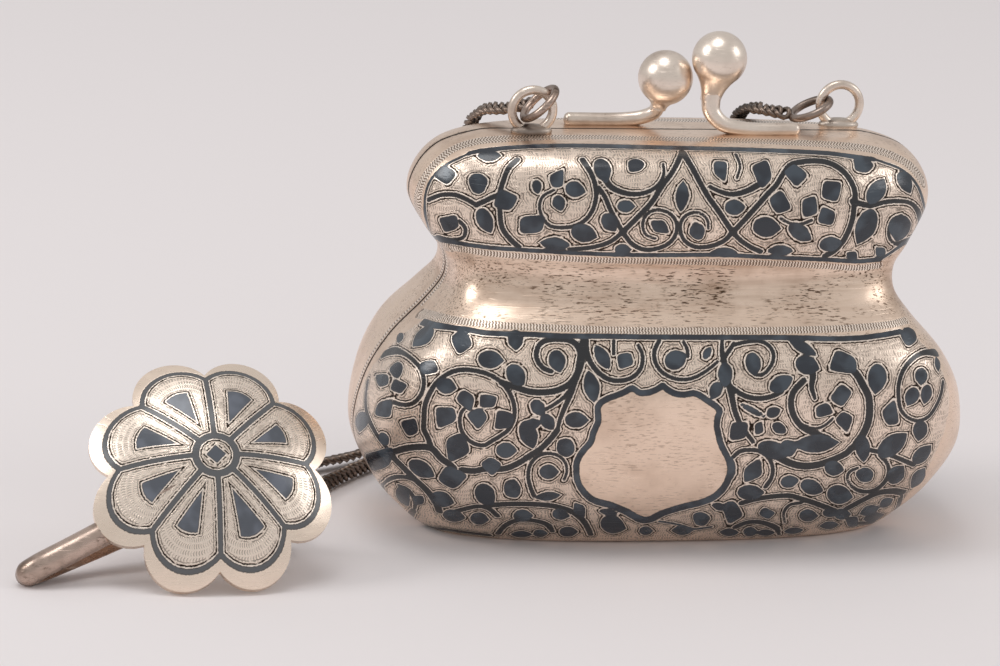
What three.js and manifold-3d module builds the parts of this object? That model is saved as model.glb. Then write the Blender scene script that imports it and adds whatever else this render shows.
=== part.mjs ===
// Silver chatelaine purse: two domed silver shells on a bottom hinge, a two-ball clasp on the mouth, and two
// chains that join the purse to a rosette belt hook leaning beside it.
// Millimetres, +Z up, the front towards -Y. The pieces are laid out on the seam plane, and the whole group is
// then moved so that the middle of its underside is the origin.
import * as THREE from "three";
import { mergeVertices } from "three/addons/utils/BufferGeometryUtils.js";
import Module from "manifold-3d";

const wasm = await Module();
wasm.setup();

// Shells
const WALL = 0.8;
const SEAM_GAP = 0.3;
const AROUND_STEPS = 22;

// Cross sections of one shell from the mouth down to the hinge: height, half width on the seam, depth in front
// of the seam, squareness of the plan curve (2 is an ellipse), and mesh steps down to the next section
const SECTIONS = [
  { name: "mouth_rim", z: 52.5, halfWidth: 22, depth: 0, squareness: 2.4, steps: 1 },
  { name: "top_flat", z: 52.3, halfWidth: 25.8, depth: 7, squareness: 2.4, steps: 2 },
  { name: "top_turn", z: 50.7, halfWidth: 30.7, depth: 11.2, squareness: 2.4, steps: 2 },
  { name: "upper_shoulder", z: 47.6, halfWidth: 33.5, depth: 13.4, squareness: 2.4, steps: 2 },
  { name: "upper_lobe", z: 43.8, halfWidth: 34.2, depth: 14.2, squareness: 2.4, steps: 2 },
  { name: "upper_under", z: 39.2, halfWidth: 31.6, depth: 13.2, squareness: 3.2, steps: 2 },
  { name: "neck_top", z: 36.4, halfWidth: 29.4, depth: 12.2, squareness: 4.4, steps: 2 },
  { name: "neck", z: 33.3, halfWidth: 29.2, depth: 13, squareness: 5.4, steps: 2 },
  { name: "neck_foot", z: 30, halfWidth: 31.5, depth: 15.8, squareness: 5.4, steps: 2 },
  { name: "belly_shoulder", z: 25.2, halfWidth: 35.9, depth: 19.2, squareness: 4.6, steps: 2 },
  { name: "belly_upper", z: 19.5, halfWidth: 39, depth: 20, squareness: 3.6, steps: 2 },
  { name: "belly", z: 12.6, halfWidth: 40, depth: 18.6, squareness: 3, steps: 2 },
  { name: "belly_lower", z: 6.4, halfWidth: 37.2, depth: 16, squareness: 2.7, steps: 2 },
  { name: "belly_turn", z: 2.2, halfWidth: 33.4, depth: 12.8, squareness: 2.6, steps: 1 },
  { name: "foot_front", z: 0, halfWidth: 30.5, depth: 10, squareness: 2.6, steps: 1 },
  { name: "foot_back", z: 0, halfWidth: 29.4, depth: 5.5, squareness: 2.6, steps: 1 },
  { name: "hinge_seam", z: 3.6, halfWidth: 27.5, depth: 0, squareness: 2.6, steps: 0 },
];

// Hinge along the bottom seam
const HINGE_AXIS_Z = 1.35;
const HINGE_LENGTH = 40;
const KNUCKLES = 5;
const KNUCKLE_GAP = 0.3;
const KNUCKLE_RADIUS = 1.3;
const KNUCKLE_SIDES = 10;
const BORE_RADIUS = 0.75;
const PIN_RADIUS = 0.45;
const LEAF = { reach: 3.4, inset: 0.8, thick: 0.9, z: 1.75 };

// Rings: soldered lugs, jump rings and the eye behind the rosette
const RING = { radius: 2.68, wire: 0.52, sides: 6, steps: 14 };
const JUMP = { radius: 2.65, wire: 0.45, sides: 6, steps: 13 };
const EYE = { radius: 1.9, wire: 0.5, sides: 6, steps: 12 };
const SADDLE = { radius: 1.25, length: 1.7, height: 0.75, sides: 8, rings: 6 };

// Ball clasp: pear-shaped balls on bent wires that lie along the rims
const BALL_RADIUS = 3.55;
const WIRE_RADIUS = 0.9;
const WIRE_SIDES = 8;
const WIRE_STEPS = 13;
const NECK_WIDE = 1.25;
const BALL_SIDES = 12;
const BALL_ARCS = 7;

// What each shell carries, seen with that shell in front: lug place, ball place, neck and the clasp wire's way
const FRONT = {
  lug: { x: -19.2, y: -2.3, z: 55.4 },
  ball: { x: 5.25, y: -1.0, z: 62.05, neck: 2.1, lean: 9 },
  wire: [[4.35, -1.3, 57.4], [4.5, -1.7, 55.3], [5.9, -2.2, 53.8], [8.6, -2.4, 53.2], [16.2, -2.4, 53.15]],
};
const BACK = {
  lug: { x: -22.9, y: -3.0, z: 55.2 },
  ball: { x: 1.2, y: -1.0, z: 59.05, neck: 0.7, lean: -9.5 },
  wire: [[1.9, -1.2, 55.4], [2.2, -1.6, 54.4], [3.6, -2.1, 53.6], [6.0, -2.4, 53.2], [14.0, -2.4, 53.15]],
};

// Jump rings on the lugs: the place round the lug that each holds, the slope it lies at, and how far its centre
// is from that place along the slope
const JUMP_LEFT = { hold: 45, slope: 45, hang: -1.43 };
const JUMP_RIGHT = { hold: 180, slope: 26, hang: -1.35 };

// Belt hook: rosette plate, strip bent to a U behind it, and the way it leans on the table
const ROSETTE = { petals: 8, radius: 15.7, petalCentre: 0.675, dome: 5, thick: 0.9, steps: 48, turn: 1.2 };
const ROSETTE_RINGS = [0.34, 0.62, 0.84, 1];
const HOOK_ANGLE = 206;
const STRIP = { width: 3.5, thick: 1.3, steps: 52 };
const HOOK_WAY = [
  [-6, 3.0], [0, 3.7], [6, 3.0], [10, 1.5], [14, -0.8], [17, -1.4], [20.5, -1.8], [24, -2.2],
  [25.8, -3.3], [24.2, -4.4], [20, -5.5], [14, -6.8], [8, -7.6], [0, -8.1], [-2.4, -8.7],
];
const EYE_PLACE = { x: 10.2, y: 3.0, z: -1.6 };
const HOOK_RING_SLOPE = -117;
const LEAN = 52.7;
const ROSETTE_PLACE = { x: -61.4, y: -19.85 };

// Chains: thickness over the twisted links and the way each lies, from its jump ring down behind the purse,
// over the table and up to the ring behind the rosette
const CHAIN = { diameter: 2.1, sides: 8, steps: 48 };
const TABLE_Z = CHAIN.diameter / 2 + 0.2;
const CHAIN_LEFT_WAY = [
  [-19.3, 1.3, 55.3], [-21.6, 3.4, 54.3], [-23.4, 6.4, 53.5], [-24.2, 10.0, 51.4], [-24.4, 12.6, 47.9],
  [-24.4, 13.5, 43.6], [-24.2, 14.0, 38.5], [-24.0, 15.3, 34.0], [-23.6, 17.7, 30.6], [-23.2, 20.8, 25.8],
  [-22.8, 21.8, 19.5], [-22.4, 21.5, 13.0], [-22.0, 21.5, 6.0], [-21.0, 21.7, 2.4], [-18.4, 22.4, TABLE_Z],
  [-13.0, 23.6, TABLE_Z], [-9.6, 26.4, TABLE_Z], [-11.2, 30.0, TABLE_Z], [-17.0, 31.0, TABLE_Z],
  [-27.0, 26.0, TABLE_Z], [-38.7, 14.6, TABLE_Z], [-45.6, 4.6, TABLE_Z], [-49.4, -4.4, TABLE_Z],
  [-50.3, -10.2, 2.8], [-49.95, -13.6, 8.1],
];
const CHAIN_RIGHT_WAY = [
  [15.5, 3.8, 53.85], [13.6, 5.6, 53.85], [12.4, 9.0, 53.3], [12.0, 12.6, 51.2], [12.0, 14.9, 47.6],
  [12.0, 15.8, 43.4], [12.0, 15.9, 38.5], [12.0, 16.4, 34.2], [12.0, 18.6, 30.6], [12.0, 21.6, 25.8],
  [12.0, 22.2, 19.5], [12.0, 22.0, 13.0], [12.0, 22.0, 6.0], [11.4, 22.5, 2.4], [9.4, 24.4, TABLE_Z],
  [4.0, 30.6, TABLE_Z], [-6.0, 36.0, TABLE_Z], [-20.0, 34.6, TABLE_Z], [-37.4, 22.2, TABLE_Z],
  [-50.0, 15.6, TABLE_Z], [-59.0, 8.4, TABLE_Z], [-61.8, 0.0, TABLE_Z], [-58.0, -6.6, TABLE_Z],
  [-53.9, -10.6, 2.8], [-52.45, -13.6, 8.1],
];

// Finishes
const FINISH = {
  shell: { color: 0xd6c6b4, roughness: 0.34, metalness: 1 },
  wire: { color: 0xcbbba8, roughness: 0.38, metalness: 1 },
  chain: { color: 0x8a7c70, roughness: 0.45, metalness: 1 },
  rosette: { color: 0xd2c2ae, roughness: 0.36, metalness: 1 },
};

const outlineCurve = new THREE.SplineCurve(SECTIONS.map((s) => new THREE.Vector2(s.halfWidth, s.z)));
const depthCurve = new THREE.SplineCurve(SECTIONS.map((s) => new THREE.Vector2(s.depth, s.z)));
const squarenessCurve = new THREE.SplineCurve(SECTIONS.map((s) => new THREE.Vector2(s.squareness, s.z)));

const vector = ([x, y, z]) => new THREE.Vector3(x, y, z);
const radians = THREE.MathUtils.degToRad;

// A closed geometry as a solid that can be joined and cut
function solidOf(geometry) {
  const bare = geometry.clone();
  bare.deleteAttribute("normal");
  bare.deleteAttribute("uv");
  const merged = mergeVertices(bare);
  return new wasm.Manifold(new wasm.Mesh({
    numProp: 3,
    vertProperties: Float32Array.from(merged.attributes.position.array),
    triVerts: Uint32Array.from(merged.index.array),
  }));
}

// A joined solid as a geometry again
function geometryOf(solid) {
  const mesh = solid.getMesh();
  const geometry = new THREE.BufferGeometry();
  geometry.setAttribute("position", new THREE.BufferAttribute(Float32Array.from(mesh.vertProperties), 3));
  geometry.setIndex(new THREE.BufferAttribute(Uint32Array.from(mesh.triVerts), 1));
  geometry.computeVertexNormals();
  return geometry;
}

function joined(geometries) {
  return geometries.map(solidOf).reduce((whole, piece) => whole.add(piece));
}

function namedMesh(name, geometry, finish) {
  const mesh = new THREE.Mesh(geometry, new THREE.MeshStandardMaterial({ ...finish }));
  mesh.name = name;
  return mesh;
}

function polygon(radius, sides) {
  const corner = (k) => new THREE.Vector2(
    radius * Math.cos((2 * Math.PI * k) / sides),
    radius * Math.sin((2 * Math.PI * k) / sides),
  );
  return new THREE.Shape(Array.from({ length: sides }, (_, k) => corner(k)));
}

// A bar of the given section carried along a smooth way through the points
function bar(section, points, steps) {
  const extrudePath = new THREE.CatmullRomCurve3(points, false, "centripetal");
  return new THREE.ExtrudeGeometry(section, { extrudePath, steps, bevelEnabled: false });
}

function torus({ radius, wire, sides, steps }) {
  return new THREE.TorusGeometry(radius, wire, sides, steps);
}

// Point of the shell's outer face: the section curve halfWidth * cos^(2/n), depth * sin^(2/n) at its height
function shellPoint(row, turn) {
  const along = row / (SECTIONS.length - 1);
  const { x: halfWidth, y: z } = outlineCurve.getPoint(along);
  const depth = depthCurve.getPoint(along).x;
  const power = 2 / squarenessCurve.getPoint(along).x;
  const across = Math.cos(turn);
  return new THREE.Vector3(
    halfWidth * Math.sign(across) * Math.abs(across) ** power,
    -depth * Math.max(Math.sin(turn), 0) ** power,
    Math.max(z, 0),
  );
}

function shellRows() {
  const rows = SECTIONS.flatMap(({ steps }, k) => Array.from({ length: steps }, (_, i) => k + i / steps));
  return [...rows, SECTIONS.length - 1];
}

// Indices of the grid's edge, once round: along the mouth, down one side, along the hinge and up the other
function edgeLoop(rowCount, columnCount) {
  const loop = [];
  for (let j = 0; j < columnCount - 1; j += 1) loop.push(j);
  for (let i = 0; i < rowCount - 1; i += 1) loop.push(i * columnCount + columnCount - 1);
  for (let j = columnCount - 1; j > 0; j -= 1) loop.push((rowCount - 1) * columnCount + j);
  for (let i = rowCount - 1; i > 0; i -= 1) loop.push(i * columnCount);
  return loop;
}

// One domed shell: the outer face, the same face set in by the wall, and a flat rim on the seam plane
function shellGeometry() {
  const rows = shellRows();
  const columnCount = AROUND_STEPS + 1;
  const outer = rows.flatMap((row) => (
    Array.from({ length: columnCount }, (_, j) => shellPoint(row, (Math.PI * j) / AROUND_STEPS))
  ));
  const loop = edgeLoop(rows.length, columnCount);
  loop.forEach((k) => outer[k].setY(0));
  const inset = outer.map((point, k) => {
    const i = Math.floor(k / columnCount);
    const j = k % columnCount;
    if (i === 0 || j === 0 || i === rows.length - 1 || j === AROUND_STEPS) return null;
    const around = outer[k + 1].clone().sub(outer[k - 1]);
    const down = outer[k + columnCount].clone().sub(outer[k - columnCount]);
    return around.cross(down).normalize();
  });
  loop.forEach((k, n) => {
    const before = outer[loop.at(n - 1)];
    const after = outer[loop[(n + 1) % loop.length]];
    inset[k] = after.clone().sub(before).cross(new THREE.Vector3(0, 1, 0)).negate().normalize();
  });
  const inner = outer.map((point, k) => point.clone().addScaledVector(inset[k], -WALL));
  const index = [];
  const shift = outer.length;
  for (let i = 0; i < rows.length - 1; i += 1) {
    for (let j = 0; j < AROUND_STEPS; j += 1) {
      const a = i * columnCount + j;
      const [b, c, d] = [a + 1, a + columnCount + 1, a + columnCount];
      index.push(a, b, c, a, c, d);
      index.push(shift + a, shift + c, shift + b, shift + a, shift + d, shift + c);
    }
  }
  loop.forEach((a, n) => {
    const b = loop[(n + 1) % loop.length];
    index.push(a, shift + a, shift + b, a, shift + b, b);
  });
  const geometry = new THREE.BufferGeometry();
  const corners = [...outer, ...inner].flatMap((point) => point.toArray());
  geometry.setAttribute("position", new THREE.BufferAttribute(new Float32Array(corners), 3));
  geometry.setIndex(index);
  return geometry.translate(0, -SEAM_GAP / 2, 0);
}

// Lug ring standing on the rim, with the solder saddle at its foot
function lugGeometries({ x, y, z }) {
  const ring = torus(RING).rotateX(Math.PI / 2).translate(x, y, z);
  const saddle = new THREE.SphereGeometry(SADDLE.radius, SADDLE.sides, SADDLE.rings)
    .scale(SADDLE.length, 1, SADDLE.height)
    .translate(x, y, z - RING.radius);
  return [ring, saddle];
}

// Pear-shaped ball on its neck: an arc of the ball, then the neck down to the wire's radius
function ballGeometry({ x, y, z, neck, lean }) {
  const sweep = Math.PI - Math.asin(NECK_WIDE / BALL_RADIUS) * 1.5;
  const arc = Array.from({ length: BALL_ARCS + 1 }, (_, k) => {
    const angle = (sweep * k) / BALL_ARCS;
    return new THREE.Vector2(BALL_RADIUS * Math.sin(angle), BALL_RADIUS * Math.cos(angle));
  });
  arc[0].setX(0);
  const foot = -BALL_RADIUS - neck;
  const profile = [...arc, new THREE.Vector2(WIRE_RADIUS, foot), new THREE.Vector2(0, foot)];
  return new THREE.LatheGeometry(profile.reverse(), BALL_SIDES)
    .rotateX(Math.PI / 2)
    .rotateY(radians(lean))
    .translate(x, y, z);
}

// Knuckles of one shell, with the leaf that joins each to the shell's hinge groove
function knuckleGeometries(first) {
  const pitch = HINGE_LENGTH / KNUCKLES;
  const length = pitch - KNUCKLE_GAP;
  const pieces = [];
  for (let k = first; k < KNUCKLES; k += 2) {
    const x = (k + 0.5) * pitch - HINGE_LENGTH / 2;
    pieces.push(new THREE.CylinderGeometry(KNUCKLE_RADIUS, KNUCKLE_RADIUS, length, KNUCKLE_SIDES)
      .rotateZ(Math.PI / 2)
      .translate(x, 0, HINGE_AXIS_Z));
    pieces.push(new THREE.BoxGeometry(length, LEAF.reach - LEAF.inset, LEAF.thick)
      .translate(x, -(LEAF.reach + LEAF.inset) / 2, LEAF.z));
  }
  return pieces;
}

function pinGeometry(radius, length) {
  return new THREE.CylinderGeometry(radius, radius, length, KNUCKLE_SIDES)
    .rotateZ(Math.PI / 2)
    .translate(0, 0, HINGE_AXIS_Z);
}

function shellMesh(name, { lug, ball, wire }, firstKnuckle) {
  const solid = joined([
    shellGeometry(),
    ...lugGeometries(lug),
    ballGeometry(ball),
    bar(polygon(WIRE_RADIUS, WIRE_SIDES), wire.map(vector), WIRE_STEPS),
    ...knuckleGeometries(firstKnuckle),
  ]).subtract(solidOf(pinGeometry(BORE_RADIUS, HINGE_LENGTH * 2)));
  return namedMesh(name, geometryOf(solid), FINISH.shell);
}

// Direction in the plane of the lugs, at an angle up from +X
function slopeDirection(angle) {
  return new THREE.Vector3(Math.cos(radians(angle)), 0, Math.sin(radians(angle)));
}

// A jump ring through a lug: it lies in the plane of Y and its own slope, hung along that slope
function jumpRing(name, { x, y, z }, { hold, slope, hang }) {
  const ring = namedMesh(name, torus(JUMP), FINISH.wire);
  ring.rotation.y = -radians(slope);
  ring.position.set(x, y, z)
    .addScaledVector(slopeDirection(hold), RING.radius)
    .addScaledVector(slopeDirection(slope), hang);
  return ring;
}

// Half angle within one petal, measured from its middle
function petalAngle(angle) {
  const pitch = (2 * Math.PI) / ROSETTE.petals;
  return ((angle % pitch) + pitch) % pitch - pitch / 2;
}

// Outline of the rosette: round petals, arcs about points inside the edge
function petalRadius(angle) {
  const inside = ROSETTE.radius * ROSETTE.petalCentre;
  const round = ROSETTE.radius - inside;
  const off = petalAngle(angle);
  return inside * Math.cos(off) + Math.sqrt(round ** 2 - (inside * Math.sin(off)) ** 2);
}

// Domed plate with the petal outline, the dome falling with the square of the radius
function rosetteGeometry() {
  const { steps, radius, dome, thick } = ROSETTE;
  const points = [new THREE.Vector3(0, 0, dome)];
  ROSETTE_RINGS.forEach((share) => {
    for (let k = 0; k < steps; k += 1) {
      const angle = (2 * Math.PI * k) / steps;
      const reach = share * THREE.MathUtils.lerp(radius, petalRadius(angle), share ** 3);
      const height = dome * (1 - (reach / radius) ** 2);
      points.push(new THREE.Vector3(reach * Math.cos(angle), reach * Math.sin(angle), height));
    }
  });
  const under = points.map((point) => point.clone().setZ(point.z - thick));
  const shift = points.length;
  const index = [];
  const quad = (a, b, c, d) => index.push(a, b, c, a, c, d);
  for (let k = 0; k < steps; k += 1) {
    const next = (k + 1) % steps;
    index.push(0, 1 + k, 1 + next);
    index.push(shift, shift + 1 + next, shift + 1 + k);
    for (let ring = 1; ring < ROSETTE_RINGS.length; ring += 1) {
      const [a, b] = [1 + (ring - 1) * steps + k, 1 + (ring - 1) * steps + next];
      quad(a, a + steps, b + steps, b);
      quad(shift + a, shift + b, shift + b + steps, shift + a + steps);
    }
    const edge = 1 + (ROSETTE_RINGS.length - 1) * steps;
    quad(edge + k, shift + edge + k, shift + edge + next, edge + next);
  }
  const geometry = new THREE.BufferGeometry();
  const corners = [...points, ...under].flatMap((point) => point.toArray());
  geometry.setAttribute("position", new THREE.BufferAttribute(new Float32Array(corners), 3));
  geometry.setIndex(index);
  return geometry.rotateZ(radians(ROSETTE.turn));
}

// Half-round strip that runs under the plate, past its edge, and back below it
function hookGeometry() {
  const across = STRIP.width / 2;
  const section = new THREE.Shape([
    new THREE.Vector2(-across * 0.7, -STRIP.thick / 2),
    new THREE.Vector2(across * 0.7, -STRIP.thick / 2),
    new THREE.Vector2(across, 0),
    new THREE.Vector2(across, STRIP.thick / 2),
    new THREE.Vector2(-across, STRIP.thick / 2),
    new THREE.Vector2(-across, 0),
  ]);
  const way = HOOK_WAY.map(([h, n]) => new THREE.Vector3(h, 0, n));
  return bar(section, way, STRIP.steps).rotateZ(radians(HOOK_ANGLE));
}

function beltHook() {
  const eye = torus(EYE).rotateX(Math.PI / 2).translate(EYE_PLACE.x, EYE_PLACE.y, EYE_PLACE.z);
  const stem = new THREE.CylinderGeometry(EYE.wire * 2, EYE.wire * 2, EYE.radius, WIRE_SIDES)
    .rotateX(Math.PI / 2)
    .translate(EYE_PLACE.x, EYE_PLACE.y, EYE_PLACE.z + EYE.radius + EYE.radius / 2);
  const solid = joined([rosetteGeometry(), hookGeometry(), eye, stem]);
  const hook = namedMesh("belt_hook", geometryOf(solid), FINISH.rosette);
  const ring = namedMesh("hook_ring", torus(JUMP).rotateY(Math.PI / 2), FINISH.wire);
  const slope = radians(HOOK_RING_SLOPE);
  const hang = JUMP.radius / 2;
  ring.position.set(
    EYE_PLACE.x,
    EYE_PLACE.y + hang * Math.cos(slope),
    EYE_PLACE.z - EYE.radius + hang * Math.sin(slope),
  );
  const leaning = new THREE.Group();
  leaning.add(hook, ring);
  leaning.rotation.x = radians(LEAN);
  leaning.position.set(ROSETTE_PLACE.x, ROSETTE_PLACE.y, 0);
  leaning.position.z = -new THREE.Box3().setFromObject(leaning, true).min.z;
  return leaning;
}

function chain(name, way) {
  const tube = bar(polygon(CHAIN.diameter / 2, CHAIN.sides), way.map(vector), CHAIN.steps);
  return namedMesh(name, tube, FINISH.chain);
}

const purse = new THREE.Group();
const backShell = shellMesh("back_shell", BACK, 1);
backShell.rotation.z = Math.PI;
const backLug = { x: -BACK.lug.x, y: -BACK.lug.y, z: BACK.lug.z };
purse.add(
  shellMesh("front_shell", FRONT, 0),
  backShell,
  namedMesh("hinge_pin", pinGeometry(PIN_RADIUS, HINGE_LENGTH), FINISH.wire),
  jumpRing("jump_ring_left", FRONT.lug, JUMP_LEFT),
  jumpRing("jump_ring_right", backLug, JUMP_RIGHT),
  chain("chain_left", CHAIN_LEFT_WAY),
  chain("chain_right", CHAIN_RIGHT_WAY),
  beltHook(),
);

// The origin is the middle of the underside of everything
const reach = new THREE.Box3().setFromObject(purse, true);
purse.position.set(-(reach.min.x + reach.max.x) / 2, -(reach.min.y + reach.max.y) / 2, -reach.min.z);

export default purse;
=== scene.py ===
"""Looks of a silver chatelaine purse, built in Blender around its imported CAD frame.

Lengths are millimetres in the purse's own frame until a mesh is made: the seam plane is y = 0, the middle
of the foot is the origin, the front looks towards -Y and +Z is up. A mesh is then moved to the row frame, in
metres.
"""

import logging
import math
from dataclasses import dataclass, field
from enum import Enum
from typing import Any

import bpy
import numpy as np
from mathutils import Matrix, Vector


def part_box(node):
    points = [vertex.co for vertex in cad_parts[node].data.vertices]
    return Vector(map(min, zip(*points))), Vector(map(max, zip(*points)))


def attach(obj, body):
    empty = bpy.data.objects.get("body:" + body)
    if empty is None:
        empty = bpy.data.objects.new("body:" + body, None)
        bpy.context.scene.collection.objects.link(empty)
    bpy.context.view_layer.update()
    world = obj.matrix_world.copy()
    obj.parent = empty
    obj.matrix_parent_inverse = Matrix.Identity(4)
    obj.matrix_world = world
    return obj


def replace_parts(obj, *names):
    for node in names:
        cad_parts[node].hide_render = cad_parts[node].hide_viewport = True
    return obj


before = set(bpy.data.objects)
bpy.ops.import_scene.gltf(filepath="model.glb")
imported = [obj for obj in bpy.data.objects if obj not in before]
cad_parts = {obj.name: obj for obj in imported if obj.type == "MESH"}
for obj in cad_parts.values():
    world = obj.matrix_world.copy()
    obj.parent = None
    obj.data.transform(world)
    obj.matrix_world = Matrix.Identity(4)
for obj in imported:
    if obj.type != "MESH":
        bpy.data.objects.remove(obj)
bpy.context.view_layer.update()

log = logging.getLogger("purse")

# A millimetre in metres, and lengths that count as none
MM = 0.001
TINY = 1e-9
SMALL = 1e-6
PICTURE = (1000, 666)

# Points that a curve has between two of its given places
CURVE_STEPS = 48

# Direction from the front to the back, and the turns about Z of what faces each of them
DEPTH = np.array([0.0, 1.0, 0.0])
FRONT_TURN, BACK_TURN = 0.0, 180.0


class Slot(Enum):
    """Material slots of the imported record."""

    SHELL = "shell_silver"
    WIRE = "wire_silver"
    CHAIN = "chain_silver"
    ROSETTE = "rosette_silver"


def purse_origin() -> np.ndarray:
    """Gives the purse's own origin in the row frame, in millimetres: under the middle of the hinge pin."""
    low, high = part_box("hinge_pin")
    middle = (np.array(low) + np.array(high)) / 2 / MM
    return np.array([middle[0], middle[1], 0.0])


@dataclass
class Form:
    """Points and faces of a mesh that is being worked out.

    Args:
        points: Corners in the purse's frame, one row each.
        faces: Corner numbers of each face.
    """

    points: np.ndarray
    faces: list[list[int]]

    def moved(self, turn: np.ndarray, place: np.ndarray) -> "Form":
        """Gives the form turned by a rotation matrix and then set at a place."""
        return Form(self.points @ turn.T + place, self.faces)

    def turned(self, axis: str, degrees: float) -> "Form":
        """Gives the form turned about one axis through the origin."""
        return self.moved(rotation(axis, degrees), np.zeros(3))

    def object(
        self, name: str, slot: Slot, material: bpy.types.Material, crease: float = 35.0
    ) -> bpy.types.Object:
        """Makes the form a piece that rides on the part's body.

        Args:
            name: Name of the piece.
            slot: Material slot of the record that its finish stands for; it is not used.
            material: Finish of the piece.
            crease: Angle in degrees past which an edge stays sharp.

        Returns:
            The new object, with its place in its mesh.
        """
        mesh = bpy.data.meshes.new(name)
        mesh.from_pydata(((self.points + purse_origin()) * MM).tolist(), [], self.faces)
        mesh.shade_smooth()
        mesh.set_sharp_from_angle(angle=math.radians(crease))
        mesh.materials.append(material)
        piece = bpy.data.objects.new(name, mesh)
        bpy.context.scene.collection.objects.link(piece)
        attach(piece, "root")
        return piece


def round_angles(count: int) -> np.ndarray:
    """Gives equal angles once round, starting at 0."""
    return np.arange(count) * 2 * math.pi / count


def joined(*forms: Form) -> Form:
    """Puts several forms into one, each keeping its own corners."""
    starts = np.cumsum([0] + [len(form.points) for form in forms[:-1]])
    faces = [[int(start) + k for k in face] for start, form in zip(starts, forms) for face in form.faces]
    return Form(np.vstack([form.points for form in forms]), faces)


def grid_faces(
    rows: int, columns: int, close_rows: bool = False, close_columns: bool = False
) -> list[list[int]]:
    """Quads over a grid of points that are numbered row by row.

    Args:
        rows: Number of rows.
        columns: Number of points in a row.
        close_rows: Whether the last row joins the first.
        close_columns: Whether a row's last point joins its first.

    Returns:
        Four corner numbers for each quad, columns first and then rows.
    """
    i = np.arange(rows if close_rows else rows - 1)[:, None]
    j = np.arange(columns if close_columns else columns - 1)[None, :]
    below, beside = (i + 1) % rows, (j + 1) % columns
    corners = (i * columns + j, i * columns + beside, below * columns + beside, below * columns + j)
    return np.stack(np.broadcast_arrays(*corners), -1).reshape(-1, 4).tolist()


def rotation(axis: str, degrees: float) -> np.ndarray:
    """Gives the 3 by 3 matrix of a turn about one axis."""
    return np.array(Matrix.Rotation(math.radians(degrees), 3, axis))


def smooth_way(points: np.ndarray, count: int) -> np.ndarray:
    """Centripetal Catmull-Rom curve through points, cut into steps of equal length.

    Each stretch blends the line before it, its own line and the line after it by knots that grow with the
    square root of the distance between points, and the ends are continued straight.

    Args:
        points: Points that the curve passes through, in two or three dimensions.
        count: Number of points to give.

    Returns:
        That many points, evenly spaced along the curve.
    """
    points = np.asarray(points, float)
    padded = np.vstack([2 * points[0] - points[1], points, 2 * points[-1] - points[-2]])
    p0, p1, p2, p3 = (padded[k:len(padded) - 3 + k, None, :] for k in range(4))
    knot = np.sqrt(np.linalg.norm(np.diff(padded, axis=0), axis=1)).clip(SMALL)
    d0, d1, d2 = (knot[k:len(knot) - 2 + k, None, None] for k in range(3))
    start = ((p1 - p0) / d0 - (p2 - p0) / (d0 + d1) + (p2 - p1) / d1) * d1
    end = ((p2 - p1) / d1 - (p3 - p1) / (d1 + d2) + (p3 - p2) / d2) * d1
    s = np.linspace(0, 1, CURVE_STEPS, endpoint=False)[None, :, None]
    curve = ((2 * s**3 - 3 * s**2 + 1) * p1 + (s**3 - 2 * s**2 + s) * start
             + (3 * s**2 - 2 * s**3) * p2 + (s**3 - s**2) * end)
    fine = np.vstack([curve.reshape(-1, points.shape[1]), points[-1:]])
    run = np.concatenate([[0], np.cumsum(np.linalg.norm(np.diff(fine, axis=0), axis=1))])
    wanted = np.linspace(0, run[-1], count)
    return np.stack([np.interp(wanted, run, fine[:, k]) for k in range(fine.shape[1])], -1)


def way_frames(way: np.ndarray, side: np.ndarray) -> tuple[np.ndarray, np.ndarray, np.ndarray]:
    """Turn-free frames along a way: each step turns the frame before it only as far as the way bends.

    Args:
        way: Points along the way.
        side: Direction that the first frame's side is taken from.

    Returns:
        Unit tangents, sides and their cross products, one row for each point.
    """
    tangent = np.gradient(way, axis=0)
    tangent /= np.linalg.norm(tangent, axis=1, keepdims=True)
    sides = np.empty_like(tangent)
    last = np.asarray(side, float)
    for k, direction in enumerate(tangent):
        last = last - direction * (last @ direction)
        last = last / np.linalg.norm(last)
        sides[k] = last
    return tangent, sides, np.cross(tangent, sides)


def swept(way: np.ndarray, section: np.ndarray, side: np.ndarray, scale: np.ndarray | float = 1.0) -> Form:
    """A closed section carried along a way, with flat ends.

    Args:
        way: Points along the way.
        section: Outline of the section, side and cross parts, going from the side towards the cross.
        side: Direction that the section's first part starts along.
        scale: Size of the section at each point of the way.

    Returns:
        The closed form.
    """
    _, sides, crosses = way_frames(way, side)
    size = np.broadcast_to(np.asarray(scale, float), (len(way),))[:, None, None]
    rings = (way[:, None, :] + size * section[None, :, :1] * sides[:, None, :]
             + size * section[None, :, 1:] * crosses[:, None, :])
    count = len(section)
    faces = grid_faces(len(way), count, close_columns=True)
    faces.append(list(range(count))[::-1])
    faces.append([(len(way) - 1) * count + k for k in range(count)])
    return Form(rings.reshape(-1, 3), faces)


def circle(radius: float, sides: int) -> np.ndarray:
    """Points of a circle: radius times cosine and sine of equal angles."""
    angle = round_angles(sides)
    return radius * np.stack([np.cos(angle), np.sin(angle)], -1)


def wire_ring(radius: float, wire: float, steps: int = 56, sides: int = 14) -> Form:
    """A ring of round wire in the XY plane: a circle of the wire's radius carried round a larger circle."""
    phi = round_angles(steps)[:, None]
    theta = round_angles(sides)[None, :]
    reach = radius + wire * np.cos(theta)
    parts = np.broadcast_arrays(reach * np.cos(phi), reach * np.sin(phi), -wire * np.sin(theta))
    faces = grid_faces(steps, sides, close_rows=True, close_columns=True)
    return Form(np.stack(parts, -1).reshape(-1, 3), faces)


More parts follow.
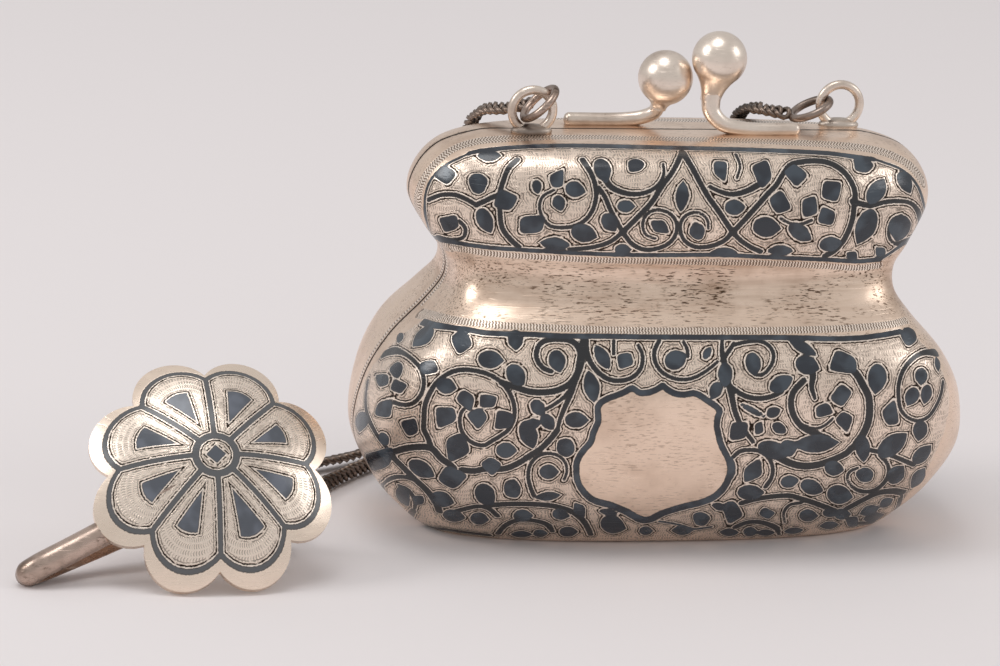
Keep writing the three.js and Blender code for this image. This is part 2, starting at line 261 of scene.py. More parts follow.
def revolved(profile: np.ndarray, sides: int) -> Form:
    """A profile of radius and height, from bottom to top, turned about Z.

    A profile end on the axis becomes one pole point with triangles, and any other end is closed flat.

    Args:
        profile: Radius and height of each point of the profile.
        sides: Number of points round the axis.

    Returns:
        The closed form.
    """
    poles = [end for end in (0, len(profile) - 1) if profile[end, 0] < SMALL]
    body = np.delete(profile, poles, axis=0)
    angle = round_angles(sides)
    rings = np.stack([body[:, :1] * np.cos(angle), body[:, :1] * np.sin(angle),
                      np.repeat(body[:, 1:], sides, axis=1)], -1).reshape(-1, 3)
    faces = grid_faces(len(body), sides, close_columns=True)
    top = (len(body) - 1) * sides
    ring = np.arange(sides)
    after = (ring + 1) % sides
    points = [rings]
    if 0 in poles:
        pole = len(rings)
        points.append(np.array([[0, 0, profile[0, 1]]]))
        faces += np.stack([np.full(sides, pole), after, ring], -1).tolist()
    else:
        faces.append(ring[::-1].tolist())
    if len(profile) - 1 in poles:
        pole = sum(len(part) for part in points)
        points.append(np.array([[0, 0, profile[-1, 1]]]))
        faces += np.stack([np.full(sides, pole), top + ring, top + after], -1).tolist()
    else:
        faces.append((top + ring).tolist())
    return Form(np.vstack(points), faces)


@dataclass(frozen=True)
class Viewpoint:
    """Camera at the photograph's angle.

    Args:
        azimuth: Degrees that the camera stands to the purse's left.
        elevation: Degrees above the horizon.
        roll: Degrees that the picture is turned clockwise.
        distance: Millimetres from the purse's origin.
        focal: Focal length in picture pixels.
        origin: Picture place of the purse's origin, in pixels.
        sensor: Sensor width in millimetres.
        clip: Nearest and farthest distance that the camera sees, in metres.
    """

    azimuth: float = 14.5
    elevation: float = 18.0
    roll: float = 3.87
    distance: float = 600.0
    focal: float = 4542.0
    origin: tuple[float, float] = (647.4, 516.3)
    sensor: float = 36.0
    clip: tuple[float, float] = (0.01, 20.0)

    def axes(self) -> np.ndarray:
        """Works out the picture's right, up and back directions, one row each.

        The upright camera's axes are rolled, and then it is aimed so that the origin falls on its pixel.

        Returns:
            A 3 by 3 array of unit rows.
        """
        a, e, r = np.radians([self.azimuth, self.elevation, self.roll])
        back = np.array([-np.sin(a) * np.cos(e), -np.cos(a) * np.cos(e), np.sin(e)])
        level = np.array([np.cos(a), -np.sin(a), 0.0])
        upright = np.cross(back, level)
        right = np.cos(r) * level + np.sin(r) * upright
        up = np.cos(r) * upright - np.sin(r) * level
        off_x = self.origin[0] - PICTURE[0] / 2
        off_y = self.origin[1] - PICTURE[1] / 2
        axis = self.focal * back + off_x * right - off_y * up
        axis /= np.linalg.norm(axis)
        across = np.cross(up, axis)
        across /= np.linalg.norm(across)
        return np.stack([across, np.cross(axis, across), axis])

    def eye(self) -> np.ndarray:
        """Gives the camera's place in the purse's frame."""
        a, e = np.radians([self.azimuth, self.elevation])
        return self.distance * np.array([-np.sin(a) * np.cos(e), -np.cos(a) * np.cos(e), np.sin(e)])

    def project(self, points: np.ndarray) -> np.ndarray:
        """Gives the picture place of points, in pixels from the top left corner."""
        seen = (points - self.eye()) @ self.axes().T
        scale = self.focal / -seen[..., 2:]
        return np.array(PICTURE) / 2 + seen[..., :2] * scale * [1, -1]

    def build(self) -> bpy.types.Object:
        """Makes the camera and gives it to the scene."""
        data = bpy.data.cameras.new("picture_camera")
        data.sensor_width = self.sensor
        data.lens = self.focal * self.sensor / PICTURE[0]
        data.clip_start, data.clip_end = self.clip
        camera = bpy.data.objects.new("picture_camera", data)
        bpy.context.scene.collection.objects.link(camera)
        place = Matrix(self.axes().T.tolist()).to_4x4()
        place.translation = Vector((self.eye() + purse_origin()) * MM)
        camera.matrix_world = place
        bpy.context.scene.camera = camera
        return camera


@dataclass(frozen=True)
class Section:
    """One cross section of a shell.

    Args:
        name: What the section passes through.
        height: Height above the table.
        half_width: Half width on the seam.
        depth: Depth in front of the seam.
        squareness: Power of the plan curve, 2 for an ellipse.
    """

    name: str
    height: float
    half_width: float
    depth: float
    squareness: float


SECTIONS = (
    Section("mouth_rim", 52.5, 22.0, 0.0, 2.4),
    Section("top_flat", 52.3, 25.8, 7.0, 2.4),
    Section("top_turn", 50.7, 30.7, 11.2, 2.4),
    Section("upper_shoulder", 47.6, 33.5, 13.4, 2.4),
    Section("upper_lobe", 43.8, 34.2, 14.2, 2.4),
    Section("upper_under", 39.2, 31.6, 13.2, 3.2),
    Section("neck_top", 36.4, 29.4, 12.2, 4.4),
    Section("neck", 33.3, 29.2, 13.0, 5.4),
    Section("neck_foot", 30.0, 31.5, 15.8, 5.4),
    Section("belly_shoulder", 25.2, 35.9, 19.2, 4.6),
    Section("belly_upper", 19.5, 39.0, 20.0, 3.6),
    Section("belly", 12.6, 40.0, 18.6, 3.0),
    Section("belly_lower", 6.4, 37.2, 16.0, 2.7),
    Section("belly_turn", 2.2, 33.4, 12.8, 2.6),
    Section("foot_front", 0.0, 30.5, 10.0, 2.6),
    Section("foot_back", 0.0, 29.4, 5.5, 2.6),
    Section("hinge_seam", 3.6, 27.5, 0.0, 2.6),
)


def section_values(column: str, place: np.ndarray) -> np.ndarray:
    """Uniform Catmull-Rom curve through one column of the sections.

    It is a cubic between two rows, whose end slopes are half the difference of the rows on either side.

    Args:
        column: Field of Section.
        place: Row numbers, with fractions, counted from the mouth.

    Returns:
        The column's value at each place.
    """
    value = np.array([getattr(section, column) for section in SECTIONS])
    last = len(value) - 1
    k = np.clip(np.floor(place).astype(int), 0, last - 1)
    s = place - k
    before, here = value[np.maximum(k - 1, 0)], value[k]
    after, beyond = value[k + 1], value[np.minimum(k + 2, last)]
    rise, fall = (after - before) / 2, (beyond - here) / 2
    cubic = 2 * here - 2 * after + rise + fall
    square = 3 * after - 3 * here - 2 * rise - fall
    return cubic * s**3 + square * s**2 + rise * s + here


@dataclass
class ShellGrid:
    """Fine grid of a shell's outer face.

    Args:
        points: Places, by row from the mouth to the hinge and by column from the right seam to the left one.
        rows: Section number of each row, with fractions.
        around: Signed length round each row from its middle, for every point.
        down: Length down the middle of the face, for each row.
        seam: Length to the nearer end of the row, for every point.
        normals: Outward directions.
    """

    points: np.ndarray
    rows: np.ndarray
    around: np.ndarray
    down: np.ndarray
    seam: np.ndarray
    normals: np.ndarray

    @property
    def flat(self) -> np.ndarray:
        """Gives the places one row each."""
        return self.points.reshape(-1, 3)

    def between(self, rows: tuple[float, float]) -> np.ndarray:
        """Tells which rows lie between two section numbers, as a column."""
        return ((self.rows > rows[0]) & (self.rows < rows[1]))[:, None]


@dataclass
class ShellForm:
    """The domed face that both shells share, seen with its own shell in front.

    Args:
        wall: Thickness of the silver.
        seam_gap: Gap between the two rims.
        rows: Grid rows, one more than a multiple of the inner face's row step.
        columns: Grid columns, one more than a multiple of the inner face's column step.
        inner_row_step: Grid rows to one row of the inner face.
        inner_column_step: Grid columns to one column of the inner face.
        profile_steps: Points that the length down the middle is measured by.
        quarter_steps: Points that the length round half a row is measured by.
        crowding: Power that crowds those points towards the seam and the middle.
    """

    wall: float = 0.8
    seam_gap: float = 0.3
    rows: int = 247
    columns: int = 385
    inner_row_step: int = 6
    inner_column_step: int = 8
    profile_steps: int = 3201
    quarter_steps: int = 901
    crowding: int = 3

    def grid(self) -> ShellGrid:
        """Works out the outer face.

        A row is the curve half width times cos^(2/n), depth times sin^(2/n) of an angle from 0 to 180
        degrees, at the section's height. Rows are spaced evenly down the middle, and points round each row.

        Returns:
            The grid with its lengths and normals.
        """
        fine = np.linspace(0, len(SECTIONS) - 1, self.profile_steps)
        middle = np.stack([section_values("depth", fine), np.maximum(section_values("height", fine), 0)], -1)
        run = np.concatenate([[0], np.cumsum(np.linalg.norm(np.diff(middle, axis=0), axis=1))])
        down = np.linspace(0, run[-1], self.rows)
        row = np.interp(down, run, fine)
        height = np.maximum(section_values("height", row), 0)
        wide = section_values("half_width", row)[:, None]
        deep = np.abs(section_values("depth", row))[:, None]
        power = 2 / section_values("squareness", row)[:, None]
        share = np.linspace(0, 1, self.quarter_steps)
        near, far = share**self.crowding, (1 - share) ** self.crowding
        quarter = math.pi / 2 * near / (near + far)
        angle = np.concatenate([quarter, math.pi - quarter[-2::-1]])[None, :]
        x = wide * np.sign(np.cos(angle)) * np.abs(np.cos(angle)) ** power
        y = -deep * np.sin(angle).clip(0) ** power
        steps = np.hypot(np.diff(x, axis=1), np.diff(y, axis=1))
        length = np.concatenate([np.zeros((self.rows, 1)), np.cumsum(steps, axis=1)], axis=1)
        part = np.linspace(0, 1, self.columns)
        spaced = np.stack([[np.interp(part * run_[-1], run_, x_), np.interp(part * run_[-1], run_, y_)]
                           for run_, x_, y_ in zip(length, x, y)])
        points = np.stack([spaced[:, 0], spaced[:, 1], np.repeat(height[:, None], self.columns, axis=1)], -1)
        points[[0, -1], :, 1] = 0
        points[:, [0, -1], 1] = 0
        whole = length[:, -1:]
        around = (0.5 - part)[None, :] * whole
        seam = np.minimum(part, 1 - part)[None, :] * whole
        normals = np.cross(np.gradient(points, axis=1), np.gradient(points, axis=0))
        normals /= np.linalg.norm(normals, axis=2, keepdims=True).clip(TINY)
        return ShellGrid(points, row, around, down, seam, normals)

    def edge(self, rows: int, columns: int) -> np.ndarray:
        """Numbers of a grid's edge points, once round: mouth, left side, hinge and right side."""
        number = np.arange(rows * columns).reshape(rows, columns)
        return np.concatenate([number[0, :-1], number[:-1, -1], number[-1, :0:-1], number[:0:-1, 0]])

    def closed(self, grid: ShellGrid) -> Form:
        """Closes the outer face with an inner face, set in by the wall along the normals, and a flat rim.

        Args:
            grid: The outer face.

        Returns:
            The shell in its own half of the seam gap, the outer face's points first.
        """
        outer = grid.flat
        inset = grid.normals.reshape(-1, 3).copy()
        loop = self.edge(self.rows, self.columns)
        along = outer[np.roll(loop, -1)] - outer[np.roll(loop, 1)]
        outward = np.cross(DEPTH, along)
        inset[loop] = outward / np.linalg.norm(outward, axis=1, keepdims=True).clip(TINY)
        number = np.arange(len(outer)).reshape(self.rows, self.columns)
        kept = number[:: self.inner_row_step, :: self.inner_column_step]
        inner = outer[kept.ravel()] - self.wall * inset[kept.ravel()]
        shift = len(outer)
        faces = grid_faces(self.rows, self.columns)
        faces += [[shift + k for k in face[::-1]] for face in grid_faces(*kept.shape)]
        inner_of = dict(zip(kept.ravel().tolist(), range(shift, shift + kept.size)))
        coarse = [k for k, point in enumerate(loop.tolist()) if point in inner_of]
        ring = loop.tolist() + loop.tolist()[:1]
        for start, end in zip(coarse, coarse[1:] + [len(loop)]):
            span = ring[start:end + 1]
            faces.append([span[0], inner_of[span[0]], inner_of[span[-1]], *span[:0:-1]])
        return Form(np.vstack([outer, inner]) - [0, self.seam_gap / 2, 0], faces)


@dataclass(frozen=True)
class Stem:
    """A niello line charted on the picture.

    Args:
        name: What the line is.
        width: Width in picture pixels where it starts.
        way: Picture places that it passes through.
        tip: Width in picture pixels where it ends, or None for the same.
    """

    name: str
    width: float
    way: tuple[tuple[float, float], ...]
    tip: float | None = None


@dataclass(frozen=True)
class Panel:
    """A field of niello ornament on the front.

    Args:
        name: Which field it is.
        rows: First and last section number that the field lies between.
        edge: Picture places round its engraved ground.
        stems: Its lines.
        leaves: Its leaves: picture x and y, half length, half width and the clockwise turn in degrees.
    """

    name: str
    rows: tuple[float, float]
    edge: tuple[tuple[float, float], ...]
    stems: tuple[Stem, ...]
    leaves: tuple[tuple[float, float, float, float, float], ...]


UPPER_PANEL = Panel(
    name="upper_panel",
    rows=(0.6, 5.9),
    edge=(
        (469, 152), (500, 147), (570, 144.5), (717, 147.5), (829, 152), (873, 158), (901, 168), (919, 188),
        (925, 211), (911, 237), (881, 260), (829, 260.5), (722, 256), (633, 256), (519, 251), (438, 240),
        (427, 223), (424, 205), (432, 176), (445, 164),
    ),
    stems=(
        Stem("frame_top", 4.3, (
            (469, 153), (476, 151), (500, 148), (525, 146.3), (570, 145.2), (648, 146.8), (717, 148.4),
            (755, 149.5), (829, 153), (850, 155.8), (873, 158.7))),
        Stem("frame_right", 2.4, (
            (873, 158.7), (888, 163.5), (901, 169), (911, 177), (918.6, 188.4), (922.5, 200), (924, 211),
            (918.6, 225.7), (910, 237), (898, 247), (880.4, 259))),
        Stem("frame_foot", 4.3, (
            (880.4, 259), (857, 261), (829, 259.5), (766, 256.8), (722, 254.7), (633, 254.7), (572, 252.5),
            (519, 249.3), (487, 247), (452, 241.7), (438, 238.4))),
        Stem("frame_left", 2.4, (
            (438, 238.4), (432.5, 236), (426.6, 222), (424.4, 205), (426, 190.7), (432.5, 176.6),
            (445.5, 164.7), (469, 153))),
        Stem("left_end_branch", 4.8, ((428, 199.5), (440, 195), (454, 194.5), (467, 199.4), (476, 204.8))),
        Stem("left_end_twig", 5.5, ((476, 204.8), (486, 200), (495.5, 195.5))),
        Stem("left_end_curl", 4.0, ((459, 221), (465, 227.6), (463.4, 236.8), (452, 239.5), (438, 237.3))),
        Stem("left_ring_outside", 5.4, (
            (517, 159.3), (508.4, 168), (503, 181), (499.7, 193), (499.7, 212), (502, 227.6),
            (509.5, 238.4), (519, 247))),
        Stem("left_ring_spiral", 5.5, (
            (582.3, 159.3), (591, 173.4), (595.3, 186.4), (595.5, 199.4), (591, 212.4), (583.4, 221),
            (570.4, 226.5), (550.8, 226), (544.2, 220), (539.3, 208), (542, 196.7), (554, 189.6)), 3.0),
        Stem("left_swag", 6.5, (
            (604, 177.7), (610.5, 186.4), (621.3, 191.8), (635.4, 194), (649.5, 190.7), (659.3, 183),
            (663.6, 173.4), (663, 163.6)), 3.0),
        Stem("left_fall", 5.0, ((598.5, 187.5), (605, 197.2), (609.4, 208), (615.9, 220), (622.4, 232))),
        Stem("left_diagonal", 5.5, (
            (682, 151.7), (673.3, 170), (661.4, 186.4), (651.7, 201.6), (637.6, 216.7), (622.4, 232))),
        Stem("left_foot_branch", 4.5, ((622.4, 232), (609.4, 241.7), (592, 247), (569, 249.3))),
        Stem("left_volute", 5.0, (
            (622.4, 232), (632, 243.8), (644, 249.3), (657, 248.2), (669, 242.7), (675.5, 234),
            (676.6, 224.3), (672.3, 215.6), (662.5, 210.2), (652.7, 210.2), (645.2, 215.6), (642.4, 224.3),
            (645.2, 234), (655, 238.4)), 3.0),
        Stem("right_diagonal", 5.5, (
            (682, 151.7), (691, 165.8), (700.8, 184.2), (708.4, 197.2), (717, 209), (725.8, 222.2),
            (732.3, 232))),
        Stem("right_volute", 5.0, (
            (732.3, 232), (723.6, 240.6), (709.5, 246), (695, 246.5), (684, 240), (680, 229), (682, 219),
            (690, 213), (700, 213), (707.3, 220), (708, 228)), 3.0),
        Stem("right_foot_branch", 5.0, ((732.3, 232), (741, 240.6), (750.7, 247), (760.5, 251.4))),
        Stem("right_ring", 5.5, (
            (732.3, 232), (741, 223.2), (750.7, 212.4), (760.5, 201.6), (768, 193), (775.6, 185.3),
            (782.2, 174.4), (789.7, 164.7), (801.7, 161.4), (814.7, 160.4), (828.8, 162.5), (841.8, 170),
            (850.5, 181), (854.8, 193), (853.7, 206), (852.6, 216.7), (849.4, 227.6), (842.9, 240.6),
            (834.2, 250.3), (824.4, 255.8))),
        Stem("right_swag", 6.5, (
            (759, 184), (746.4, 190.7), (731.2, 194), (718.2, 190.7), (709.5, 186.4)), 4.0),
        Stem("right_swag_curl", 3.0, ((736.6, 177.7), (739.9, 165.8), (735.5, 153.9))),
        Stem("right_ring_twig", 3.5, ((780, 217.8), (787.6, 222.2), (798.4, 224.3), (811.4, 220))),
        Stem("right_end_branch", 6.0, ((851.7, 200.8), (861.2, 203.7), (870.8, 205.6))),
        Stem("right_end_spiral", 5.0, (
            (870.8, 205.6), (886, 201.7), (898.5, 200.8), (910, 202.7), (916.7, 209.4), (919.6, 219),
            (917.7, 229.5), (912, 237), (903.3, 242), (893.8, 242.9), (889, 237), (889, 225.7),
            (892.8, 219), (901.4, 215)), 3.0),
    ),
    leaves=(
        (444.5, 174.5, 9, 8.5, 30), (478, 183, 11.4, 9, 80), (489, 155, 11, 5, 0), (505, 200.5, 10, 9, 0),
        (484.6, 220, 13, 7, 63), (448.8, 223.2, 8.5, 8.5, 0), (531.7, 224.3, 12, 10, 0),
        (555, 243.8, 14, 6, 5), (536.6, 186.4, 7, 4.3, 80), (557.2, 179.3, 9, 7.5, 90),
        (558.8, 202.6, 8, 6.5, 90), (574.7, 189, 10, 7, 15), (602.3, 169, 12, 7.5, 70),
        (635.4, 164.7, 8.5, 7, 0), (625.6, 206, 8.7, 5.5, 0), (609.4, 222.2, 10, 7, 55),
        (659.8, 226.5, 7.5, 7.5, 0), (583.4, 233, 13, 8, 15), (622.4, 249.3, 8, 5, 0),
        (682, 196, 14, 6, 95), (697.2, 232, 8, 8, 0), (720.4, 169, 8.5, 7, 90),
        (762.6, 172.3, 12.5, 9.5, 85), (734.4, 207, 10, 7, 0), (780, 202.6, 11, 9.5, 60),
        (766, 227, 13.5, 9, 5), (795.2, 173.4, 10, 9, 60), (831, 190.7, 10.5, 10, 0),
        (809.3, 206, 9.5, 8, 90), (826.6, 216.7, 9.5, 8.5, 20), (799.5, 232, 13, 7, 35),
        (830, 243.8, 11, 6.5, -10), (780, 250.3, 12, 5, 0), (723.6, 252, 12, 4.5, 0),
        (862.2, 163.5, 9.5, 7.5, 40), (876.5, 191.2, 14, 7.5, -58), (905.2, 181.7, 11.5, 6, 62),
        (866, 225.7, 18, 9, 114), (900.4, 227.6, 13, 9.5, 105), (851.2, 255.3, 6, 5, 0),
        (880, 251.5, 5.5, 5, 0),
    ),
)

BELLY_PANEL = Panel(
    name="belly_panel",
    rows=(7.6, 14.5),
    edge=(
        (422, 320), (485, 331), (557, 334), (640, 335), (790, 336), (869, 335), (903, 330), (921, 342),
        (938, 364), (948, 390), (948, 412), (940, 442), (925, 471), (905, 497), (885, 516), (850, 529),
        (790, 540), (640, 545), (500, 541), (420, 526), (380, 505), (362, 480), (354, 450), (353, 420),
        (357, 400), (366, 376), (381, 355), (402, 334),
    ),
    stems=(
        Stem("top_border", 5.5, (
            (422.7, 321.5), (432, 324.3), (450, 327), (468.6, 329.5), (485, 332.5), (528, 334),
            (557, 335.5), (610, 336), (640, 336.6), (720, 337), (790, 337.3), (825, 338.4), (847, 338.2),
            (869, 336.5), (891.6, 333), (900.5, 331))),
        Stem("left_end_circle", 4.5, (
            (383.5, 354), (390, 351), (398, 351), (407, 355), (419, 366.4), (422.7, 375), (423.7, 382.7),
            (420.8, 394.2), (413, 402.8), (403.6, 404.7), (393, 401.8))),
        Stem("left_edge_stem", 3.5, (
            (367.2, 381.7), (365.3, 401), (367.2, 415), (373, 428), (379.7, 439), (391, 452.5))),
        Stem("left_scroll", 5.5, (
            (432, 449), (427, 436), (423.7, 429.6), (423.7, 418), (424.6, 405.7), (429.4, 393),
            (436, 382.7), (443.8, 376), (453.3, 371), (464.8, 369.3), (479, 371.2), (491.6, 375.5),
            (501.5, 382.4), (509, 392), (513, 401.5), (514.4, 411), (513, 420.7), (508.2, 429.3),
            (499.6, 436), (491, 441), (484, 445), (473.4, 443), (465.8, 437.2), (461, 429.6), (459.5, 420),
            (461, 412), (464.5, 408)), 4.0),
        Stem("left_scroll_root", 6.5, (
            (393, 451.6), (407.4, 447.7), (426.5, 446.8), (432.3, 448.7), (441, 458.3), (449.5, 464),
            (453.3, 467.8))),
        Stem("left_lower_stem", 6.0, (
            (462, 469.7), (474.4, 470.7), (484, 468.8), (504.3, 468.3), (518.7, 462.5), (530, 455),
            (539.7, 449), (551, 437.7), (557, 430))),
        Stem("left_corner_stem", 5.5, (
            (393, 457.3), (403.6, 467.8), (415, 479.3), (426.5, 490), (436, 503), (439, 511))),
        Stem("left_trunk", 8.0, (
            (583.8, 339.3), (582.8, 353.7), (580, 366), (574.2, 382.4), (570.4, 394), (564.6, 407),
            (559.8, 419), (557, 430)), 4.0),
        Stem("left_top_spiral", 5.0, (
            (551.2, 371), (543.6, 368), (537.8, 361.4), (536, 353.7), (538.8, 345), (545.5, 340.3),
            (557, 338.8), (568.4, 339.8), (576, 344), (580, 352.7), (579, 363),
            (577, 373), (573.2, 380)), 7.0),
        Stem("left_trunk_arc", 6.5, (
            (501.5, 382.4), (516.8, 387.2), (528, 391), (543.6, 392), (557, 390), (568.4, 384.3),
            (574.2, 378.6))),
        Stem("middle_scroll", 6.0, (
            (585.7, 339.3), (586.6, 351.8), (590.5, 362.3), (598, 372), (607.7, 378.6), (619, 380.5),
            (628.7, 378.6), (637.3, 372.8), (642, 364), (642, 354), (638, 345)), 4.0),
        Stem("middle_scroll_twig", 4.0, ((613.4, 340), (613.4, 353.7))),
        Stem("left_trunk_twig", 4.0, ((543.6, 410), (555, 403.4), (564.6, 395.8), (571.3, 387.2))),
        Stem("left_small_ring", 4.5, (
            (534, 496), (531, 489.3), (528.3, 479.7), (528.3, 470), (531, 462.5), (537.8, 455.8),
            (547.4, 453), (559, 455.8), (565.6, 463.5), (566.5, 472), (563.7, 479.7)), 3.0),
        Stem("left_foot_stem", 5.0, (
            (487, 505), (509, 503.7), (528, 503.7), (543.6, 504.6), (557, 506.5), (571.3, 511.3),
            (581.8, 519), (587.6, 527.6), (590.5, 534.3))),
        Stem("left_corner_spiral", 3.5, (
            (417, 481.2), (407.4, 477.4), (397.8, 476.4), (388.3, 479.3), (381.6, 486), (380, 493),
            (382.5, 501.3), (393, 509), (403.6, 513.8), (412.2, 511.8), (415, 504.2), (413, 496.5),
            (407.4, 489), (399.7, 486))),
        Stem("left_foot_arc", 4.0, ((452.4, 511.8), (463, 509), (479, 506), (489.7, 509), (497.3, 515.7))),
        Stem("left_foot_ring", 4.0, (
            (497.7, 533.3), (504.3, 525.7), (516.8, 520), (535, 520.5), (548, 525), (552, 531))),
        Stem("foot_line", 3.0, (
            (372, 492.7), (381.6, 502), (396, 511.5), (411, 517.6), (431.3, 527), (445.7, 529),
            (464.8, 532), (488.7, 534.8))),
        Stem("cartouche", 6.5, (
            (662.5, 385.3), (652.4, 391), (640, 392.6), (631.6, 388), (624, 392), (604.8, 399.6),
            (598, 405.4), (598, 420.7), (593.3, 432), (590.5, 441.5), (581.8, 452), (577, 460.6),
            (576, 471), (578, 482.6), (584.7, 493), (593.3, 499.8), (609.6, 504.6), (624, 510.4),
            (644.8, 519.9), (663.9, 512.3), (683, 506.5), (702.2, 501.7), (714.6, 496), (724.2, 486.4),
            (729, 476), (730.4, 468.3), (728, 458.7), (721.3, 445.3), (718.4, 435), (716.5, 425.4),
            (717.5, 416.8), (719.4, 410), (709, 401.5), (694.5, 393), (683, 394.4), (671.6, 392),
            (662.5, 385.3))),
        Stem("right_middle_scroll", 4.8, (
            (659, 340.3), (654.3, 350), (654.3, 359.4), (659, 369), (667.7, 375.7), (678.3, 379),
            (689.7, 378.6), (701, 373.8), (710.8, 367), (717.5, 361.4)), 3.5),
        Stem("right_middle_curl", 3.8, ((683, 341.3), (687, 349), (687.8, 356.6))),
        Stem("right_trunk", 4.0, ((721.8, 340.3), (721.8, 351.8), (724.2, 363.3)), 7.0),
        Stem("right_trunk_fork", 4.8, ((733.8, 343.2), (726, 354.7))),
        Stem("right_trunk_fall", 7.0, (
            (725, 374.7), (729, 386.2), (731.8, 397.7), (734.7, 411), (738.5, 420.7), (744.3, 430.2),
            (753, 441.7)), 4.5),
        Stem("right_top_spiral", 4.3, (
            (735.7, 344), (745.2, 341.7), (759.6, 340.8), (768.2, 345), (773, 352.7), (772.5, 361.4),
            (768.2, 369), (761.5, 374.7), (754.8, 374)), 4.0),
        Stem("right_trunk_arc", 5.3, (
            (730, 386.2), (736.6, 391), (745.2, 395.8), (757.7, 398.2), (772, 395.8), (781.6, 391))),
        Stem("right_ring_inside", 6.5, (
            (803.4, 380.3), (793.4, 391.4), (790.6, 402.6), (793.4, 415), (801.2, 426), (813.5, 432.7),
            (828, 438.3))),
        Stem("right_ring_outside", 7.5, (
            (843.6, 362.4), (856, 373.6), (862.6, 384.7), (868.2, 396), (869.3, 407), (868.2, 420.4),
            (862.6, 434), (856, 443))),
        Stem("right_ring_stem", 8.0, ((806.8, 364.6), (812.4, 373.6), (811.3, 387), (814.6, 398)), 3.5),
        Stem("right_ring_curl", 3.0, ((832.5, 418.2), (824.6, 425), (814.6, 428.3), (801.2, 423.8))),
        Stem("right_end_circle", 5.0, (
            (936, 352.4), (923, 352.4), (911.7, 359), (902.8, 370.2), (898.3, 384.7), (898.3, 398),
            (900.5, 409.3), (907.2, 417), (917.3, 420.4), (927.3, 417), (935, 407), (940.7, 393.7),
            (942.6, 382)), 3.0),
        Stem("right_lower_stem", 7.5, (
            (768, 451), (780, 457.9), (789, 462.4), (802.3, 465.7), (816.8, 464.6), (833.6, 459),
            (847, 452.3), (852.5, 446.7), (866, 449)), 6.0),
        Stem("right_knot_branch", 4.5, ((866, 449), (886, 453.4), (900.5, 459), (914, 464.6))),
        Stem("right_small_ring", 4.3, (
            (732.8, 456.8), (739.5, 451), (748, 449.6), (759.6, 451), (768.2, 457.7), (772.5, 467.3),
            (771, 477.8), (765.3, 486.4))),
        Stem("right_small_spiral", 4.5, (
            (879.3, 454.6), (887, 463.5), (888.3, 473.5), (882.7, 483.6), (872.6, 490.3), (860.4, 490.8),
            (851.4, 485.8), (847, 478), (849.2, 471.3), (857, 467.9)), 3.0),
        Stem("right_foot_stem", 4.8, (
            (741.4, 502.7), (754.8, 499), (774, 496), (790, 495.5), (801, 498.5), (813.5, 502.5),
            (828, 508), (839.2, 513))),
        Stem("right_foot_branch", 4.8, (
            (847, 508), (863.7, 499.2), (878.2, 492.5), (893.8, 490.8), (902.8, 492.5))),
        Stem("right_foot_ring", 4.0, (
            (735.7, 526.6), (744.3, 522.8), (754.8, 521.4), (767.2, 523.7), (776.8, 528.5), (778.7, 534.3))),
        Stem("right_foot_spiral", 3.0, ((784.5, 522.6), (783.3, 512.6), (789, 504.8), (801, 502.5))),
        Stem("right_corner_scroll", 3.0, (
            (858, 522.6), (871.5, 522.6), (886, 517), (897, 507), (900.5, 497))),
        Stem("cartouche_foot_line", 2.0, ((659, 521), (678.3, 524.2), (693.6, 528.5), (710.8, 526.6))),
    ),
    leaves=(
        (422.7, 335.8, 13, 6.5, 135), (461, 340.6, 13, 10, 85), (399.7, 337.3, 5.5, 3, 110),
        (396, 369.3, 8, 6.5, 90), (381.6, 379.8, 6.5, 6, 0), (397.8, 386.5, 8, 6, 0),
        (427.5, 366.4, 9.5, 7.5, 0), (382.5, 409.5, 8.5, 8.5, 0), (360.5, 421, 10, 5.5, 100),
        (410.3, 426.7, 8.5, 8, 0), (490, 359, 12.5, 8, 5), (465.8, 399, 9.5, 8, 50), (488.2, 401, 9, 7, 0),
        (478.2, 417, 10, 8.5, 70), (445.7, 385.6, 10, 7, 15), (445.7, 416.2, 10.5, 10, 90),
        (456.2, 446.8, 13, 12, 60), (504.4, 420.7, 10, 9, 0), (451.4, 477.4, 11, 11, 45),
        (490.6, 465, 9.5, 8.5, 30), (420.8, 468.8, 14, 7, 30), (375.8, 460.2, 11, 10, 0),
        (383.5, 438.7, 7, 4.5, 60), (441, 499.4, 12, 7, 15), (402.6, 496.5, 10.5, 5.5, 62),
        (419, 500.4, 5.5, 5, 0), (377.3, 486, 5, 4, 0), (453.3, 515.7, 11, 5.5, 10),
        (485, 494.6, 12, 8.5, 50), (479, 518.5, 9, 5.5, 5), (515.4, 339.3, 10, 7, 85),
        (557, 360.4, 11, 7.5, 75), (515.8, 374.7, 12, 8, 55), (624.4, 360, 8, 8, 0),
        (602, 356.6, 13, 6, 60), (591.4, 386.2, 15, 7, 78), (576, 419.7, 11.5, 7, 0),
        (537.8, 407.3, 9, 6, 50), (547.4, 421.6, 9, 6, 50), (533, 423.5, 7, 5, -10),
        (528.3, 434, 14, 8, 70), (548.4, 471.6, 9.5, 6.5, 0), (564.6, 448, 9.5, 9, 45),
        (547.4, 496, 12, 4, -5), (512, 488.4, 9, 8, 45), (505.8, 450, 10, 7, 0),
        (522.5, 515.6, 9.5, 5.5, 0), (560.3, 514.2, 8.5, 5, 10), (579, 509.4, 7, 5.5, 20),
        (521, 534, 10, 3, 0), (540, 533, 7, 3.5, 0), (568, 531.4, 9, 4.5, 0), (612.5, 524.7, 12.5, 8, 15),
        (608, 512, 9, 3, 10), (675.4, 359.4, 11.5, 8.5, -25), (707, 352.7, 6.7, 3.6, -60),
        (725, 374, 12, 6.5, 90), (715.6, 390, 9, 5.7, 115), (753, 363.3, 11.5, 7, 80),
        (780.6, 383.4, 12.4, 7.2, -30), (752, 410, 13.4, 2.7, 28), (773, 412, 7.2, 4.8, -20),
